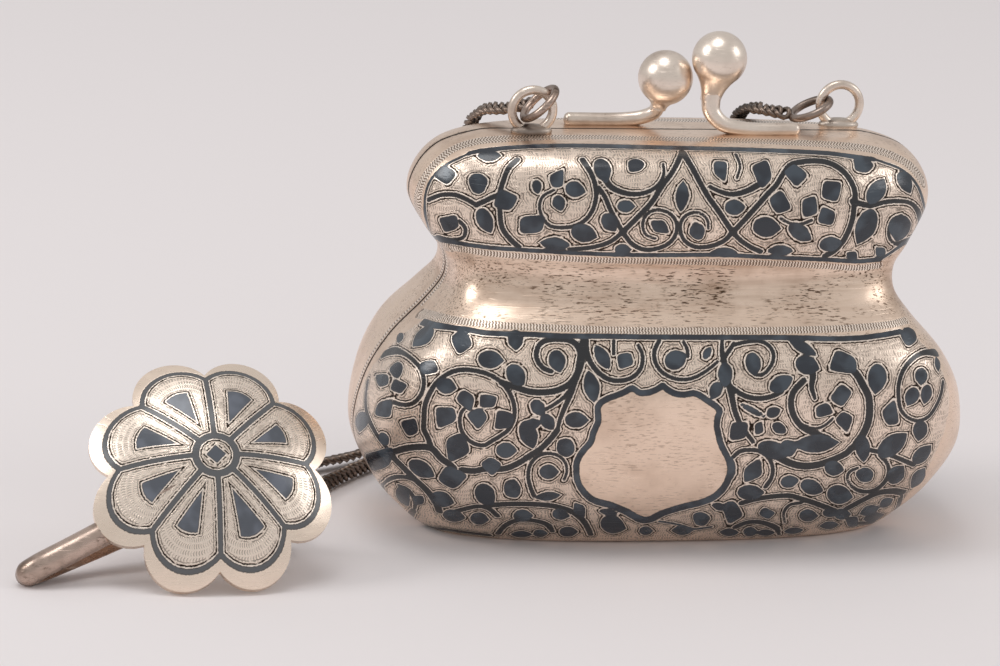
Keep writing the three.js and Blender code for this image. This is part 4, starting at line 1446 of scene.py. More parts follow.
class NielloWork(NodeGroup):
    """Node group of niello on engraved silver.

    Its inputs are the distances to the stems, to the leaves and to the zigzag bands and the length along
    the bands, all in millimetres, the amount of engraved ground, how far its hatching wanders and the place
    on the face in millimetres. Its outputs are the share of niello, the share of leaf in it, its dark rim,
    the engraved lines, the bright cuts beside them, which are fresh bare metal with a painted glint, and the
    height.
    """

    name = "niello_work"
    inputs = {
        **dict.fromkeys(("Stem", "Leaf", "Zigzag", "Zigzag Run", "Ground", "Hatch Wander"), Socket.NUMBER),
        "Chart": Socket.VECTOR,
    }
    outputs = dict.fromkeys(("Niello", "Leaf Share", "Rim", "Dark", "Bright", "Height"), Socket.NUMBER)
    # Soft edge of the niello, its dark rim and its depth beside an engraved line's
    edge = 0.05
    rim = 0.13
    niello_depth = 0.35
    # Waver of the outlines: clouds and amount, in millimetres
    bead = (Grain(4.2), 0.24)
    leaf_wander = (Grain(1.6), 0.20)
    stem_wander = (Grain(1.2), 0.20)
    contour_wander = (Grain(2.2), 0.30)
    contours = (
        Contour(0.23, 0.085, 1.0, Grain(1.03, 2.0, 0.5, 0.286, 0.406)),
        Contour(0.54, 0.06, 0.65, Grain(1.34, 2.0, 0.5, 0.348, 0.468)),
    )
    # Soft edge of a contour, as shares of its half width
    contour_soft = (0.5, 1.6)
    # Hatching: where it starts, its pitches, the wriggle of a stroke, and the ranges that cut it into strokes
    ground_start = (0.30, 0.38)
    hatch_pitch = 0.36
    hatch_row = 0.70
    hatch_grain = Grain(0.16)
    hatch_wriggle = 0.10
    hatch_range = (0.35, 0.85)
    row_range = (0.06, 0.30)
    hatch_patch = Grain(0.7, 2.0, 0.5, 0.36, 0.56)
    hatch_dark = (0.12, 0.46)
    # Zigzag bands: soft edge, middle and lean of the strokes, and the ranges of dark strokes and of the
    # bright cut between them, fresh metal with a painted glint
    band_edge = (-0.10, 0.02, 1.0, 0.0)
    band_middle = 0.25
    stroke_lean = 0.6
    stroke_pitch = 0.40
    stroke_range = (0.45, 0.85)
    stroke_dark = 0.7
    stroke_glint = (0.15, 0.5, 1.0, 0.0)
    # Bright cut beside the niello, fresh metal with a painted glint: range of distances and its amount at
    # both ends
    fresh_cut_glint_edge = (0.02, 0.25, 0.9, 0.4)

    def lines(self, graph: Graph, length: Any, pitch: float) -> bpy.types.NodeSocket:
        """Gives the sine of a length over a pitch, from 0 to 1: even parallel lines."""
        wave = graph.math("SINE", graph.times(length, 2 * math.pi / pitch))
        return graph.math("MULTIPLY_ADD", wave, 0.5, 0.5)

    def wavered(
        self, graph: Graph, distance: Any, chart: Any, grain: Grain, amount: Any
    ) -> bpy.types.NodeSocket:
        """Adds an amount of noise to a distance, as a graver's hand does."""
        waver = graph.math("SUBTRACT", graph.noise(chart, grain), 0.5)
        return graph.math("MULTIPLY_ADD", waver, amount, distance)

    def hatched(self, graph: Graph, distance: Any, chart: Any, wander: Any) -> bpy.types.NodeSocket:
        """Works out the hatched ground: rows of short strokes, in patches, away from the niello.

        Args:
            graph: The group's graph.
            distance: Distance to the niello.
            chart: Place on the face.
            wander: How far the hatching wanders.

        Returns:
            Darkness of the strokes.
        """
        split = graph.node("ShaderNodeSeparateXYZ", {"Vector": chart}).outputs
        across = self.wavered(graph, split["X"], chart, self.hatch_grain, wander)
        down = self.wavered(graph, split["Y"], chart, self.hatch_grain, wander)
        rows = self.lines(graph, down, self.hatch_row)
        wriggled = graph.math("ADD", across, graph.times(rows, self.hatch_wriggle))
        strokes = graph.step(self.lines(graph, wriggled, self.hatch_pitch), *self.hatch_range)
        strokes = graph.times(strokes, graph.step(distance, *self.ground_start))
        strokes = graph.times(strokes, graph.step(rows, *self.row_range))
        return graph.times(strokes, graph.patches(chart, self.hatch_patch, *self.hatch_dark))

    def contoured(self, graph: Graph, distance: Any, chart: Any) -> bpy.types.NodeSocket:
        """Works out the broken lines that follow the niello.

        Args:
            graph: The group's graph.
            distance: Distance to the niello.
            chart: Place on the face.

        Returns:
            Darkness of the lines.
        """
        lines: Any = 0.0
        wavered = self.wavered(graph, distance, chart, *self.contour_wander)
        for contour in self.contours:
            off = graph.math("ABSOLUTE", graph.math("SUBTRACT", wavered, contour.distance))
            inner, outer = (contour.half * share for share in self.contour_soft)
            line = graph.step(off, inner, outer, contour.dark, 0.0)
            line = graph.times(line, graph.patches(chart, contour.breaks))
            lines = graph.math("MAXIMUM", lines, line)
        return lines

    def zigzag(
        self, graph: Graph, distance: Any, run: Any
    ) -> tuple[bpy.types.NodeSocket, bpy.types.NodeSocket]:
        """Works out the strokes of the zigzag bands, which lean one way and then the other across a band.

        Args:
            graph: The group's graph.
            distance: Distance to the bands.
            run: Length along them.

        Returns:
            Darkness of the strokes, and the amount of bright cut metal between them, which carries a painted
            glint.
        """
        band = graph.step(distance, *self.band_edge)
        off_middle = graph.math("ABSOLUTE", graph.math("ADD", distance, self.band_middle))
        leant = graph.math("ADD", run, graph.times(off_middle, self.stroke_lean))
        strokes = self.lines(graph, leant, self.stroke_pitch)
        bright = graph.times(graph.step(strokes, *self.stroke_glint), band)
        dark = graph.times(graph.step(strokes, *self.stroke_range), graph.times(band, self.stroke_dark))
        return dark, bright

    def build(self) -> bpy.types.NodeTree:
        """Makes the group.

        Returns:
            The group's node tree.
        """
        graph, given = self.begin()
        chart, ground = given["Chart"], given["Ground"]
        stem = self.wavered(graph, given["Stem"], chart, *self.bead)
        leaf = self.wavered(graph, given["Leaf"], chart, *self.leaf_wander)
        in_stem = graph.step(stem, -self.edge, self.edge, 1.0, 0.0)
        in_leaf = graph.step(leaf, -self.edge, self.edge, 1.0, 0.0)
        niello = graph.math("MAXIMUM", in_stem, in_leaf)
        smooth_stem = self.wavered(graph, given["Stem"], chart, *self.stem_wander)
        distance = graph.math("MINIMUM", smooth_stem, leaf)
        hatch = self.hatched(graph, distance, chart, given["Hatch Wander"])
        engraved = graph.times(graph.math("MAXIMUM", self.contoured(graph, distance, chart), hatch), ground)
        strokes, between = self.zigzag(graph, given["Zigzag"], given["Zigzag Run"])
        # Bright cuts between the zigzag strokes and beside the niello: fresh metal with a painted glint
        bright = graph.math("MAXIMUM", between, graph.times(graph.step(distance, *self.fresh_cut_glint_edge), ground))
        silver = graph.math("SUBTRACT", 1.0, niello)
        dark = graph.times(graph.math("MAXIMUM", engraved, strokes), silver)
        height = graph.math("SUBTRACT", 0.0, graph.math("MULTIPLY_ADD", niello, self.niello_depth, dark))
        rim = graph.step(graph.math("MINIMUM", stem, leaf), -self.rim, -self.edge)
        graph.node("NodeGroupOutput", {
            "Niello": niello, "Leaf Share": in_leaf, "Rim": rim,
            "Dark": dark, "Bright": bright, "Height": height,
        })
        return graph.tree


@dataclass(frozen=True)
class EngravedSilver(PlainSilver):
    """Silver with niello and engraving, for the shells and the rosette.

    Args:
        niello: Colour of the niello in leaves and borders.
        stem: Colour of the niello in stems.
        niello_rough: Roughness of the niello.
        niello_metal: How metallic the niello is.
        niello_ior: Refractive index that gives the niello its gloss.
        engraved: Colour in the engraved lines.
        rim_share: How much of that colour the rim of the niello has.
        fresh_cut_glint: Colour of fresh cuts, bare metal with a painted glint, brighter than the worn silver.
        niello_sheen: Paler colour of some leaves, a painted reflection of the light that they mirror.
        sheen_patches: Where those leaves with the painted reflection are.
        hatch_wander: How far the hatching of the ground wanders, in millimetres.
        cut: Depth of the engraving in metres.
    """

    niello: Colour = (0.017, 0.022, 0.032, 1.0)
    stem: Colour = (0.011, 0.011, 0.013, 1.0)
    niello_rough: float = 0.20
    niello_metal: float = 0.1
    niello_ior: float = 1.66
    engraved: Colour = (0.028, 0.019, 0.014, 1.0)
    rim_share: float = 0.7
    fresh_cut_glint: Colour = (1.0, 0.89, 0.79, 1.0)
    niello_sheen: Colour = (0.050, 0.066, 0.085, 1.0)
    sheen_patches: Grain = Grain(300.0, 2.0, 0.5, 0.42, 0.66)
    hatch_wander: float = 4.0
    cut: float = 0.00006

    def shaded(self, graph: Graph) -> bpy.types.NodeSocket:
        """Adds worn silver that turns to niello where the mesh's distances say so.

        Args:
            graph: The material's graph.

        Returns:
            The shader.
        """
        silver = self.worn(graph)
        # The mesh's hollow number gives the neck's tarnish and the painted shade along the seam and inside
        graph.tree.links.new(graph.attribute("hollow"), silver.inputs["Hollow"])
        worn = silver.outputs
        values = {name.replace("_", " ").title(): graph.attribute(name)
                  for name in ("stem", "leaf", "zigzag", "zigzag_run", "ground")}
        values["Hatch Wander"] = self.hatch_wander
        values["Chart"] = graph.node("ShaderNodeUVMap", uv_map="chart").outputs["UV"]
        work = graph.node("ShaderNodeGroup", values, node_tree=NielloWork().tree()).outputs
        # Fresh cuts are painted in a brighter colour: bare metal with a painted glint
        colour = graph.mix_colour(work["Bright"], worn["Colour"], self.fresh_cut_glint)
        colour = graph.mix_colour(work["Dark"], colour, self.engraved)
        place = graph.node("ShaderNodeTexCoord").outputs["Object"]
        # Patches of leaves are painted paler: a painted reflection
        leaf = graph.mix_colour(graph.patches(place, self.sheen_patches), self.niello, self.niello_sheen)
        filled = graph.mix_colour(work["Leaf Share"], self.stem, leaf)
        filled = graph.mix_colour(graph.times(work["Rim"], self.rim_share), filled, self.engraved)
        shade = graph.node("ShaderNodeBsdfPrincipled", {
            "Base Color": graph.mix_colour(work["Niello"], colour, filled),
            "Roughness": graph.mix(work["Niello"], worn["Roughness"], self.niello_rough),
            "Metallic": graph.mix(work["Niello"], 1.0, self.niello_metal),
            "IOR": self.niello_ior,
            "Normal": graph.bump(worn["Height"], self.dent, Normal=graph.bump(work["Height"], self.cut)),
        })
        return shade.outputs["BSDF"]


SHELL_SILVER = EngravedSilver(
    "nielloed_shell", (0.94, 0.745, 0.60, 1.0), (0.36, 0.22, 0.14, 1.0), 0.36, 0.29, dashes=1.0)
ROSETTE_SILVER = EngravedSilver(
    "nielloed_rosette", (0.94, 0.79, 0.66, 1.0), (0.42, 0.28, 0.19, 1.0), 0.16, 0.27,
    scratches=0.4, dashes=0.1, niello=(0.085, 0.095, 0.115, 1.0), stem=(0.105, 0.107, 0.112, 1.0),
    niello_sheen=(0.14, 0.155, 0.19, 1.0), hatch_wander=0.5, cut=0.00004)
WIRE_SILVER = PlainSilver("worn_wire", (0.90, 0.785, 0.685, 1.0), (0.30, 0.20, 0.14, 1.0), 0.5, 0.30)
SOLDER = PlainSilver("dull_solder", (0.62, 0.54, 0.47, 1.0), (0.15, 0.11, 0.09, 1.0), 0.8, 0.40)
HOOK_SILVER = PlainSilver(
    "worn_hook", (0.58, 0.45, 0.38, 1.0), (0.13, 0.085, 0.06, 1.0), 0.95, 0.26, dashes=1.5)
DARK_SILVER = PlainSilver("oxidised_wire", (0.34, 0.27, 0.23, 1.0), (0.06, 0.045, 0.035, 1.0), 0.9, 0.32)
CHAIN_SILVER = PlainSilver(
    "oxidised_chain", (0.25, 0.19, 0.155, 1.0), (0.04, 0.03, 0.024, 1.0), 0.95, 0.32, dent=0.0001)


def give_values(piece: bpy.types.Object, name: str, values: np.ndarray) -> None:
    """Stores a number at each point of a piece's mesh.

    Args:
        piece: The piece.
        name: Name of the attribute.
        values: A number for each point.
    """
    attribute = piece.data.attributes.new(name, "FLOAT", "POINT")
    attribute.data.foreach_set("value", values.astype(np.float32))


def give_chart(piece: bpy.types.Object, chart: np.ndarray) -> None:
    """Stores a place on the face, in millimetres, as the piece's UV map.

    Args:
        piece: The piece.
        chart: Two lengths for each point.
    """
    layer = piece.data.uv_layers.new(name="chart")
    corner = np.empty(len(piece.data.loops), np.int32)
    piece.data.loops.foreach_get("vertex_index", corner)
    layer.data.foreach_set("uv", chart[corner].astype(np.float32).ravel())


@dataclass
class Hinge:
    """Knuckles of the bottom hinge and the leaves that carry them.

    Args:
        axis_height: Height of the pin.
        length: Length of all the knuckles.
        knuckles: Number of knuckles.
        gap: Gap between two knuckles.
        radius: Radius of a knuckle.
        bore: Radius of its bore.
        leaf_reach: Where a leaf ends in front of the seam.
        leaf_inset: Where a leaf starts.
        leaf_thick: Thickness of a leaf.
        leaf_height: Height of its middle.
        sides: Points round a knuckle.
    """

    axis_height: float = 1.35
    length: float = 40.0
    knuckles: int = 5
    gap: float = 0.3
    radius: float = 1.3
    bore: float = 0.75
    leaf_reach: float = 3.4
    leaf_inset: float = 0.8
    leaf_thick: float = 0.9
    leaf_height: float = 1.75
    sides: int = 28

    def form(self, first: int) -> Form:
        """Works out every second knuckle: a square profile turned about the pin, and a box for its leaf.

        Args:
            first: Number of the first knuckle, 0 or 1.

        Returns:
            The knuckles and leaves of one shell.
        """
        pitch = self.length / self.knuckles
        half = (pitch - self.gap) / 2
        profile = np.array([[self.bore, -half], [self.radius, -half], [self.radius, half], [self.bore, half]])
        angle = round_angles(self.sides)
        rings = np.stack([np.repeat(profile[:, 1:], self.sides, axis=1), profile[:, :1] * np.cos(angle),
                          profile[:, :1] * np.sin(angle)], -1).reshape(-1, 3)
        tube = Form(rings, grid_faces(len(profile), self.sides, close_rows=True, close_columns=True))
        signs = np.array([[x, y, z] for x in (-1, 1) for y in (-1, 1) for z in (-1, 1)])
        depth = (self.leaf_reach - self.leaf_inset) / 2
        box = Form(signs * [half, depth, self.leaf_thick / 2],
                   [[0, 1, 3, 2], [4, 6, 7, 5], [0, 4, 5, 1], [2, 3, 7, 6], [0, 2, 6, 4], [1, 5, 7, 3]])
        leaf_place = np.array([0.0, -(self.leaf_reach + self.leaf_inset) / 2, self.leaf_height])
        tube_place = np.array([0.0, 0.0, self.axis_height])
        middles = [(k + 0.5) * pitch - self.length / 2 for k in range(first, self.knuckles, 2)]
        return joined(*(part.moved(np.eye(3), place + [x, 0, 0])
                        for x in middles for part, place in ((tube, tube_place), (box, leaf_place))))


@dataclass
class Shell:
    """One half of the purse: the domed shell with its niello and its hinge knuckles.

    Args:
        name: Name of the CAD node that it stands for.
        turn: Turn about Z from facing front.
        first_knuckle: Number of its first knuckle.
        form: Shape of the dome.
        hinge: Shape of the hinge.
        crease: Angle in degrees past which an edge stays sharp.
    """

    name: str
    turn: float
    first_knuckle: int
    form: ShellForm = field(default_factory=ShellForm)
    hinge: Hinge = field(default_factory=Hinge)
    crease: float = 40.0

    def build(self, grid: ShellGrid, values: dict[str, np.ndarray]) -> bpy.types.Object:
        """Makes the shell and its hinge knuckles.

        Args:
            grid: The outer face.
            values: Numbers for the finish at each point of the outer face.

        Returns:
            The shell's piece.
        """
        form = self.form.closed(grid).turned("Z", self.turn)
        piece = form.object(self.name + "_silver", Slot.SHELL, SHELL_SILVER.material(), self.crease)
        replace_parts(piece, self.name)
        spare = len(form.points) - len(grid.flat)
        # The inner face and rim get numbers that paint them dark, as painted shade inside the shell
        for name, numbers in values.items():
            give_values(piece, name, np.concatenate([numbers, np.full(spare, INSIDE_FACE[name])]))
        chart = np.stack(np.broadcast_arrays(grid.around, grid.down[:, None]), -1).reshape(-1, 2)
        give_chart(piece, np.vstack([chart, np.zeros((spare, 2))]))
        knuckles = self.hinge.form(self.first_knuckle).turned("Z", self.turn)
        knuckles.object(self.name + "_knuckles", Slot.SHELL, WIRE_SILVER.material())
        return piece


@dataclass
class Clasp:
    """A pear-shaped ball on a bent wire that lies along the rim, seen with its own shell in front.

    Args:
        name: Name of the piece.
        turn: Turn about Z from facing front.
        ball: Place of the ball's middle.
        neck: Length of the neck under the ball.
        lean: Lean of the ball in degrees, positive towards the right.
        wire: Places along the wire.
        ball_radius: Radius of the ball.
        wire_radius: Radius of the wire.
        neck_wide: Radius of the neck where it leaves the ball.
        neck_swell: How much thicker the wire is at the ball.
        swell_end: Share of the wire over which it grows slim.
        swell_power: Power of that slimming.
        round_end: Share of the wire where its round end starts, and the length of that end.
        neck_meet: How far round the ball the neck leaves it, as a part of the angle that its width asks for.
        neck_power: Power of the neck's hollow curve.
        arc_steps: Points down the ball.
        neck_steps: Points down the neck.
        ball_sides: Points round the ball.
        wire_steps: Points along the wire.
        wire_sides: Points round the wire.
        crease: Angle in degrees past which an edge stays sharp.
    """

    name: str
    turn: float
    ball: tuple[float, float, float]
    neck: float
    lean: float
    wire: tuple[tuple[float, float, float], ...]
    ball_radius: float = 3.55
    wire_radius: float = 0.9
    neck_wide: float = 1.15
    neck_swell: float = 1.05
    swell_end: float = 0.55
    swell_power: float = 1.5
    round_end: tuple[float, float] = (0.95, 0.051)
    neck_meet: float = 1.35
    neck_power: float = 2.0
    arc_steps: int = 34
    neck_steps: int = 12
    ball_sides: int = 48
    wire_steps: int = 72
    wire_sides: int = 20
    crease: float = 50.0

    def ball_form(self) -> Form:
        """Works out the ball: an arc of a circle whose foot runs into the neck in a hollow curve.

        Returns:
            The ball and its neck at their place.
        """
        sweep = math.pi - math.asin(self.neck_wide / self.ball_radius) * self.neck_meet
        angle = np.linspace(sweep, 0, self.arc_steps)
        arc = self.ball_radius * np.stack([np.sin(angle), np.cos(angle)], -1)
        arc[-1, 0] = 0
        foot = -self.ball_radius - self.neck
        share = np.linspace(0, 1, self.neck_steps, endpoint=False)
        slim = self.wire_radius * self.neck_swell
        hollow = slim + (arc[0, 0] - slim) * share**self.neck_power
        rise = foot + (arc[0, 1] - foot) * share
        profile = np.vstack([np.stack([hollow, rise], -1), arc])
        return revolved(profile, self.ball_sides).moved(rotation("Y", self.lean), np.array(self.ball))

    def build(self) -> bpy.types.Object:
        """Makes the ball and its wire as one piece."""
        way = smooth_way(np.array(self.wire), self.wire_steps)
        share = np.linspace(0, 1, self.wire_steps)
        swell = 1 + (self.neck_swell - 1) * (1 - share / self.swell_end).clip(0) ** self.swell_power
        start, length = self.round_end
        swell *= np.sqrt(1 - ((share - start) / length).clip(0) ** 2)
        rail = swept(way, circle(self.wire_radius, self.wire_sides), DEPTH, swell)
        form = joined(self.ball_form(), rail).turned("Z", self.turn)
        return form.object(self.name, Slot.SHELL, WIRE_SILVER.material(), self.crease)


@dataclass
class Lug:
    """A ring of wire soldered on the rim, with its saddle of solder, seen with its own shell in front.

    Args:
        name: Name of the piece.
        turn: Turn about Z from facing front.
        place: Middle of the ring.
        radius: Radius of the ring.
        wire: Radius of its wire.
        saddle: Half length, half depth and half height of the solder.
        saddle_steps: Points down and round the solder.
    """

    name: str
    turn: float
    place: tuple[float, float, float]
    radius: float = 2.65
    wire: float = 0.6
    saddle: tuple[float, float, float] = (2.7, 1.45, 0.9)
    saddle_steps: tuple[int, int] = (21, 36)

    def build(self) -> bpy.types.Object:
        """Makes the ring, and its saddle of solder: a ball scaled along its axes."""
        ring = wire_ring(self.radius, self.wire).moved(rotation("X", 90.0), np.array(self.place))
        down, sides = self.saddle_steps
        angle = np.linspace(math.pi, 0, down)
        ball = revolved(np.stack([np.sin(angle) * (np.abs(np.sin(angle)) > SMALL), np.cos(angle)], -1), sides)
        foot = np.array(self.place) - [0, 0, self.radius]
        solder = ball.moved(np.diag(self.saddle), foot).turned("Z", self.turn)
        solder.object(self.name + "_solder", Slot.SHELL, SOLDER.material())
        return ring.turned("Z", self.turn).object(self.name, Slot.SHELL, WIRE_SILVER.material())


@dataclass
class JumpRing:
    """A loose ring of wire, in the plane of Y and its own slope.

    Args:
        node: Name of the CAD node that it stands for.
        place: Middle of the ring.
        slope: Slope of its plane in degrees.
        finish: Its silver.
        radius: Radius of the ring.
        wire: Radius of its wire.
    """

    node: str
    place: tuple[float, float, float]
    slope: float
    finish: PlainSilver
    radius: float = 2.65
    wire: float = 0.52

    def build(self) -> bpy.types.Object:
        """Makes the ring in place of its CAD node."""
        ring = wire_ring(self.radius, self.wire).moved(rotation("Y", -self.slope), np.array(self.place))
        piece = ring.object(self.node + "_wire", Slot.WIRE, self.finish.material())
        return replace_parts(piece, self.node)


@dataclass
class Chain:
    """A chain of twisted curb links along a way.

    A link is an oval whose plane turns an eighth each way from its middle to its ends, so that its end lies
    square to the end of the next link, which passes through it.

    Args:
        node: Name of the CAD node that it stands for.
        way: Places along the chain.
        thick: Thickness over the links.
        wire: Thickness of a link's wire.
        pitch: Length from link to link.
        steps: Points round a link.
        sides: Points round its wire.
        slack: Largest random turn of a link in degrees.
        twist: Even turn of the chain over its length, in degrees.
        measure_steps: Points that its length is measured by.
        first_side: Direction that its first link's frame is taken from.
        crease: Angle in degrees past which an edge stays sharp.
    """

    node: str
    way: tuple[tuple[float, float, float], ...]
    thick: float = 2.4
    wire: float = 0.74
    pitch: float = 1.16
    steps: int = 12
    sides: int = 5
    slack: float = 9.0
    twist: float = 260.0
    measure_steps: int = 1200
    first_side: tuple[float, float, float] = (0.0, 1.0, 0.2)
    crease: float = 80.0

    def link(self) -> np.ndarray:
        """Works out one link, along X.

        The oval's half length follows from the pitch and the wire. A point at angle p lies half length times
        cos p along and half width times sin p out, turned about X by an eighth turn times cos p.

        Returns:
            Points by step round the link and side round the wire.
        """
        half_length = (self.pitch + self.wire) / 2
        half_width = (self.thick - self.wire) / 2
        p = round_angles(self.steps)
        twist = math.pi / 4 * np.cos(p)
        middle = np.stack([half_length * np.cos(p), half_width * np.sin(p) * np.cos(twist),
                           half_width * np.sin(p) * np.sin(twist)], -1)
        run = np.roll(middle, -1, axis=0) - np.roll(middle, 1, axis=0)
        run /= np.linalg.norm(run, axis=1, keepdims=True)
        out = middle - run * (middle * run).sum(1, keepdims=True)
        out /= np.linalg.norm(out, axis=1, keepdims=True)
        theta = round_angles(self.sides)[None, :, None]
        across = np.cross(run, out)
        off = np.cos(theta) * out[:, None] + np.sin(theta) * across[:, None]
        return middle[:, None] + self.wire / 2 * off

    def build(self) -> bpy.types.Object:
        """Lays the links along the way, each in the frame of its own place, with a little slack.

        Returns:
            The chain's piece.
        """
        fine = smooth_way(np.array(self.way), self.measure_steps)
        length = np.linalg.norm(np.diff(fine, axis=0), axis=1).sum()
        count = int(length / self.pitch)
        places = smooth_way(np.array(self.way), count)
        tangent, side, cross = way_frames(places, np.array(self.first_side))
        rng = np.random.default_rng(len(self.node) + count)
        loose = rng.uniform(-self.slack, self.slack, count)
        roll = np.radians(loose + np.linspace(0, self.twist, count))[:, None]
        turned = np.cos(roll) * side + np.sin(roll) * cross
        frames = np.stack([tangent, turned, np.cross(tangent, turned)], 1)
        link = self.link().reshape(-1, 3)
        points = (link @ frames) + places[:, None]
        quads = np.array(grid_faces(self.steps, self.sides, close_rows=True, close_columns=True))
        faces = (quads[None] + (np.arange(count) * len(link))[:, None, None]).reshape(-1, 4)
        form = Form(points.reshape(-1, 3), faces.tolist())
        piece = form.object(self.node + "_links", Slot.CHAIN, CHAIN_SILVER.material(), self.crease)
        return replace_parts(piece, self.node)


@dataclass
class BeltHook:
    """The rosette plate with its half-round hook, the eye behind it and the ring that holds both chains.

    Args:
        petals: Number of petals.
        radius: Radius to the petals' tops.
        petal_centre: Share of the radius at which a petal's arc is centred.
        dome: Height of the dome.
        thick: Thickness of the plate.
        turn: Turn of the petals in degrees.
        hook_angle: Direction of the hook across the plate, in degrees.
        strip_width: Width of the hook's strip.
        strip_thick: Thickness of the strip.
        crown_height: Height of its round side over its flat side.
        hook_way: Places along the hook: reach from the plate's middle and height.
        eye: Place of the eye.
        eye_radius: Radius of the eye.
        eye_wire: Radius of its wire.
        ring_slope: Direction in which the ring hangs from the eye, in degrees.
        lean: Lean of the plate from lying flat, in degrees.
        place: Where it stands, x and y.
        rings: Grid rings from the middle to the edge.
        spokes: Grid points round the plate.
        line_inset: How far the scalloped line lies inside a petal's top.
        line_half: Half width of the scalloped line.
        cusp_reach: Distance of the line's cusps from the middle.
        divider_half: Half width of the lines between petals.
        hub: Radius of the ring in the middle.
        hub_half: Half width of that ring.
        hub_shift: How far the engraver set the ring from the plate's middle.
        stroke_centre: Distance from the middle to the point that a petal's engraved strokes point at.
        stroke_round: Length round that point for one radian of strokes.
        wedges: Each petal's spot: where it starts and ends, its half width, its shift and its lean.
        wedge_round: How far a spot's end is rounded back, over the square of the way across.
        wedge_slim: Factor from the wedge's formula to its distance.
        diamond: Reach of the diamond in the middle.
        scallop_from: Share of an arc's centre from which the scalloped line is drawn.
        ring_crowding: Power that crowds the grid rings towards the edge.
        petal_power: Power of the share with which the rings turn from round to petalled.
        under_rings: Grid rings that the underside keeps, apart from the edge.
        under_step: Grid spokes to one spoke of the underside.
        hook_steps: Points along the hook and round its round side.
        eye_steps: Points round the eye and round its wire.
        post_sides: Points round the eye's stem.
        plate_crease: Angle in degrees past which an edge of the plate stays sharp.
        hook_crease: The same of the hook.
    """

    petals: int = 8
    radius: float = 15.7
    petal_centre: float = 0.675
    dome: float = 5.0
    thick: float = 0.9
    turn: float = 1.2
    hook_angle: float = 206.0
    strip_width: float = 3.3
    strip_thick: float = 1.3
    crown_height: float = 1.9
    hook_way: tuple[tuple[float, float], ...] = (
        (-6, 3.0), (0, 3.7), (6, 3.0), (10, 1.5), (14, -0.8), (17, -1.4), (20.5, -1.8), (24, -2.2),
        (25.8, -3.3), (24.2, -4.4), (20, -5.5), (14, -6.8), (8, -7.6), (0, -8.1), (-2.4, -8.7),
    )
    eye: tuple[float, float, float] = (10.2, 3.0, -1.6)
    eye_radius: float = 1.9
    eye_wire: float = 0.5
    ring_slope: float = -117.0
    lean: float = 52.7
    place: tuple[float, float] = (-61.4, -19.85)
    rings: int = 120
    spokes: int = 480
    line_inset: float = 1.9
    line_half: float = 0.31
    cusp_reach: float = 11.6
    divider_half: float = 0.33
    hub: float = 2.55
    hub_half: float = 0.45
    hub_shift: tuple[float, float] = (0.15, 1.3)
    stroke_centre: float = 7.6
    stroke_round: float = 4.8
    wedges: tuple[tuple[float, float, float, float, float], ...] = (
        (5.2, 9.8, 1.45, 0.0, 0.05), (4.9, 10.3, 1.75, -0.2, 0.0), (5.1, 10.2, 1.6, 0.3, 0.06),
        (5.0, 10.0, 1.65, 0.1, 0.0), (5.0, 9.8, 1.5, 0.2, 0.08), (4.9, 9.9, 1.45, -0.4, -0.05),
        (4.7, 10.5, 1.8, 0.3, 0.08), (5.1, 10.2, 1.6, 0.1, 0.0),
    )
    wedge_round: float = 0.18
    wedge_slim: float = 0.94
    diamond: float = 1.25
    scallop_from: float = 0.9
    ring_crowding: float = 0.85
    petal_power: int = 3
    under_rings: tuple[int, ...] = (13, 41, 76)
    under_step: int = 4
    hook_steps: tuple[int, int] = (150, 15)
    eye_steps: tuple[int, int] = (40, 12)
    post_sides: int = 20
    plate_crease: float = 50.0
    hook_crease: float = 60.0

    def petal_reach(self, angle: np.ndarray) -> np.ndarray:
        """Gives the plate's edge at each angle: arcs about points inside the edge, one for each petal."""
        pitch = 2 * math.pi / self.petals
        inside = self.radius * self.petal_centre
        off = np.mod(angle, pitch) - pitch / 2
        return inside * np.cos(off) + np.sqrt((self.radius - inside) ** 2 - (inside * np.sin(off)) ** 2)

    def plate(self) -> tuple[Form, dict[str, np.ndarray], np.ndarray]:
        """Works out the domed plate.

        Rings go out by shares of the edge's reach, round near the middle and petalled towards the edge, and
        the height falls with the square of the reach.

        Returns:
            The plate, numbers for its finish and its chart.
        """
        angle = round_angles(self.spokes)[None, :]
        share = (np.linspace(0, 1, self.rings + 1)[1:] ** self.ring_crowding)[:, None]
        edge = self.petal_reach(angle)
        reach = share * (self.radius + (edge - self.radius) * share**self.petal_power)
        height = self.dome * (1 - (reach / self.radius) ** 2)
        top = np.stack([reach * np.cos(angle), reach * np.sin(angle), height], -1).reshape(-1, 3)
        flat = np.stack([reach * np.cos(angle), reach * np.sin(angle)], -1).reshape(-1, 2)
        crown = np.array([[0.0, 0.0, self.dome]])
        kept = np.array([*self.under_rings, self.rings - 1])
        under = top.reshape(self.rings, self.spokes, 3)[kept][:, ::self.under_step] - [0, 0, self.thick]
        points = np.vstack([crown, top, crown - [0, 0, self.thick], under.reshape(-1, 3)])
        ring = np.arange(self.spokes)
        after = (ring + 1) % self.spokes
        faces = np.stack([np.zeros_like(ring), 1 + ring, 1 + after], -1).tolist()
        faces += [[1 + k for k in (face[0], face[3], face[2], face[1])]
                  for face in grid_faces(self.rings, self.spokes, close_columns=True)]
        pole = 1 + len(top)
        few = self.spokes // self.under_step
        small = np.arange(few)
        next_small = (small + 1) % few
        faces += np.stack([np.full(few, pole), pole + 1 + next_small, pole + 1 + small], -1).tolist()
        faces += [[pole + 1 + k for k in face] for face in grid_faces(len(kept), few, close_columns=True)]
        rim, low = 1 + (self.rings - 1) * self.spokes, pole + 1 + (len(kept) - 1) * few
        for k in range(few):
            arc = [rim + (self.under_step * k + step) % self.spokes for step in range(self.under_step + 1)]
            faces.append([low + (k + 1) % few, *arc[::-1], low + k])
        spot = np.vstack([[[0.0, 0.0]], flat])
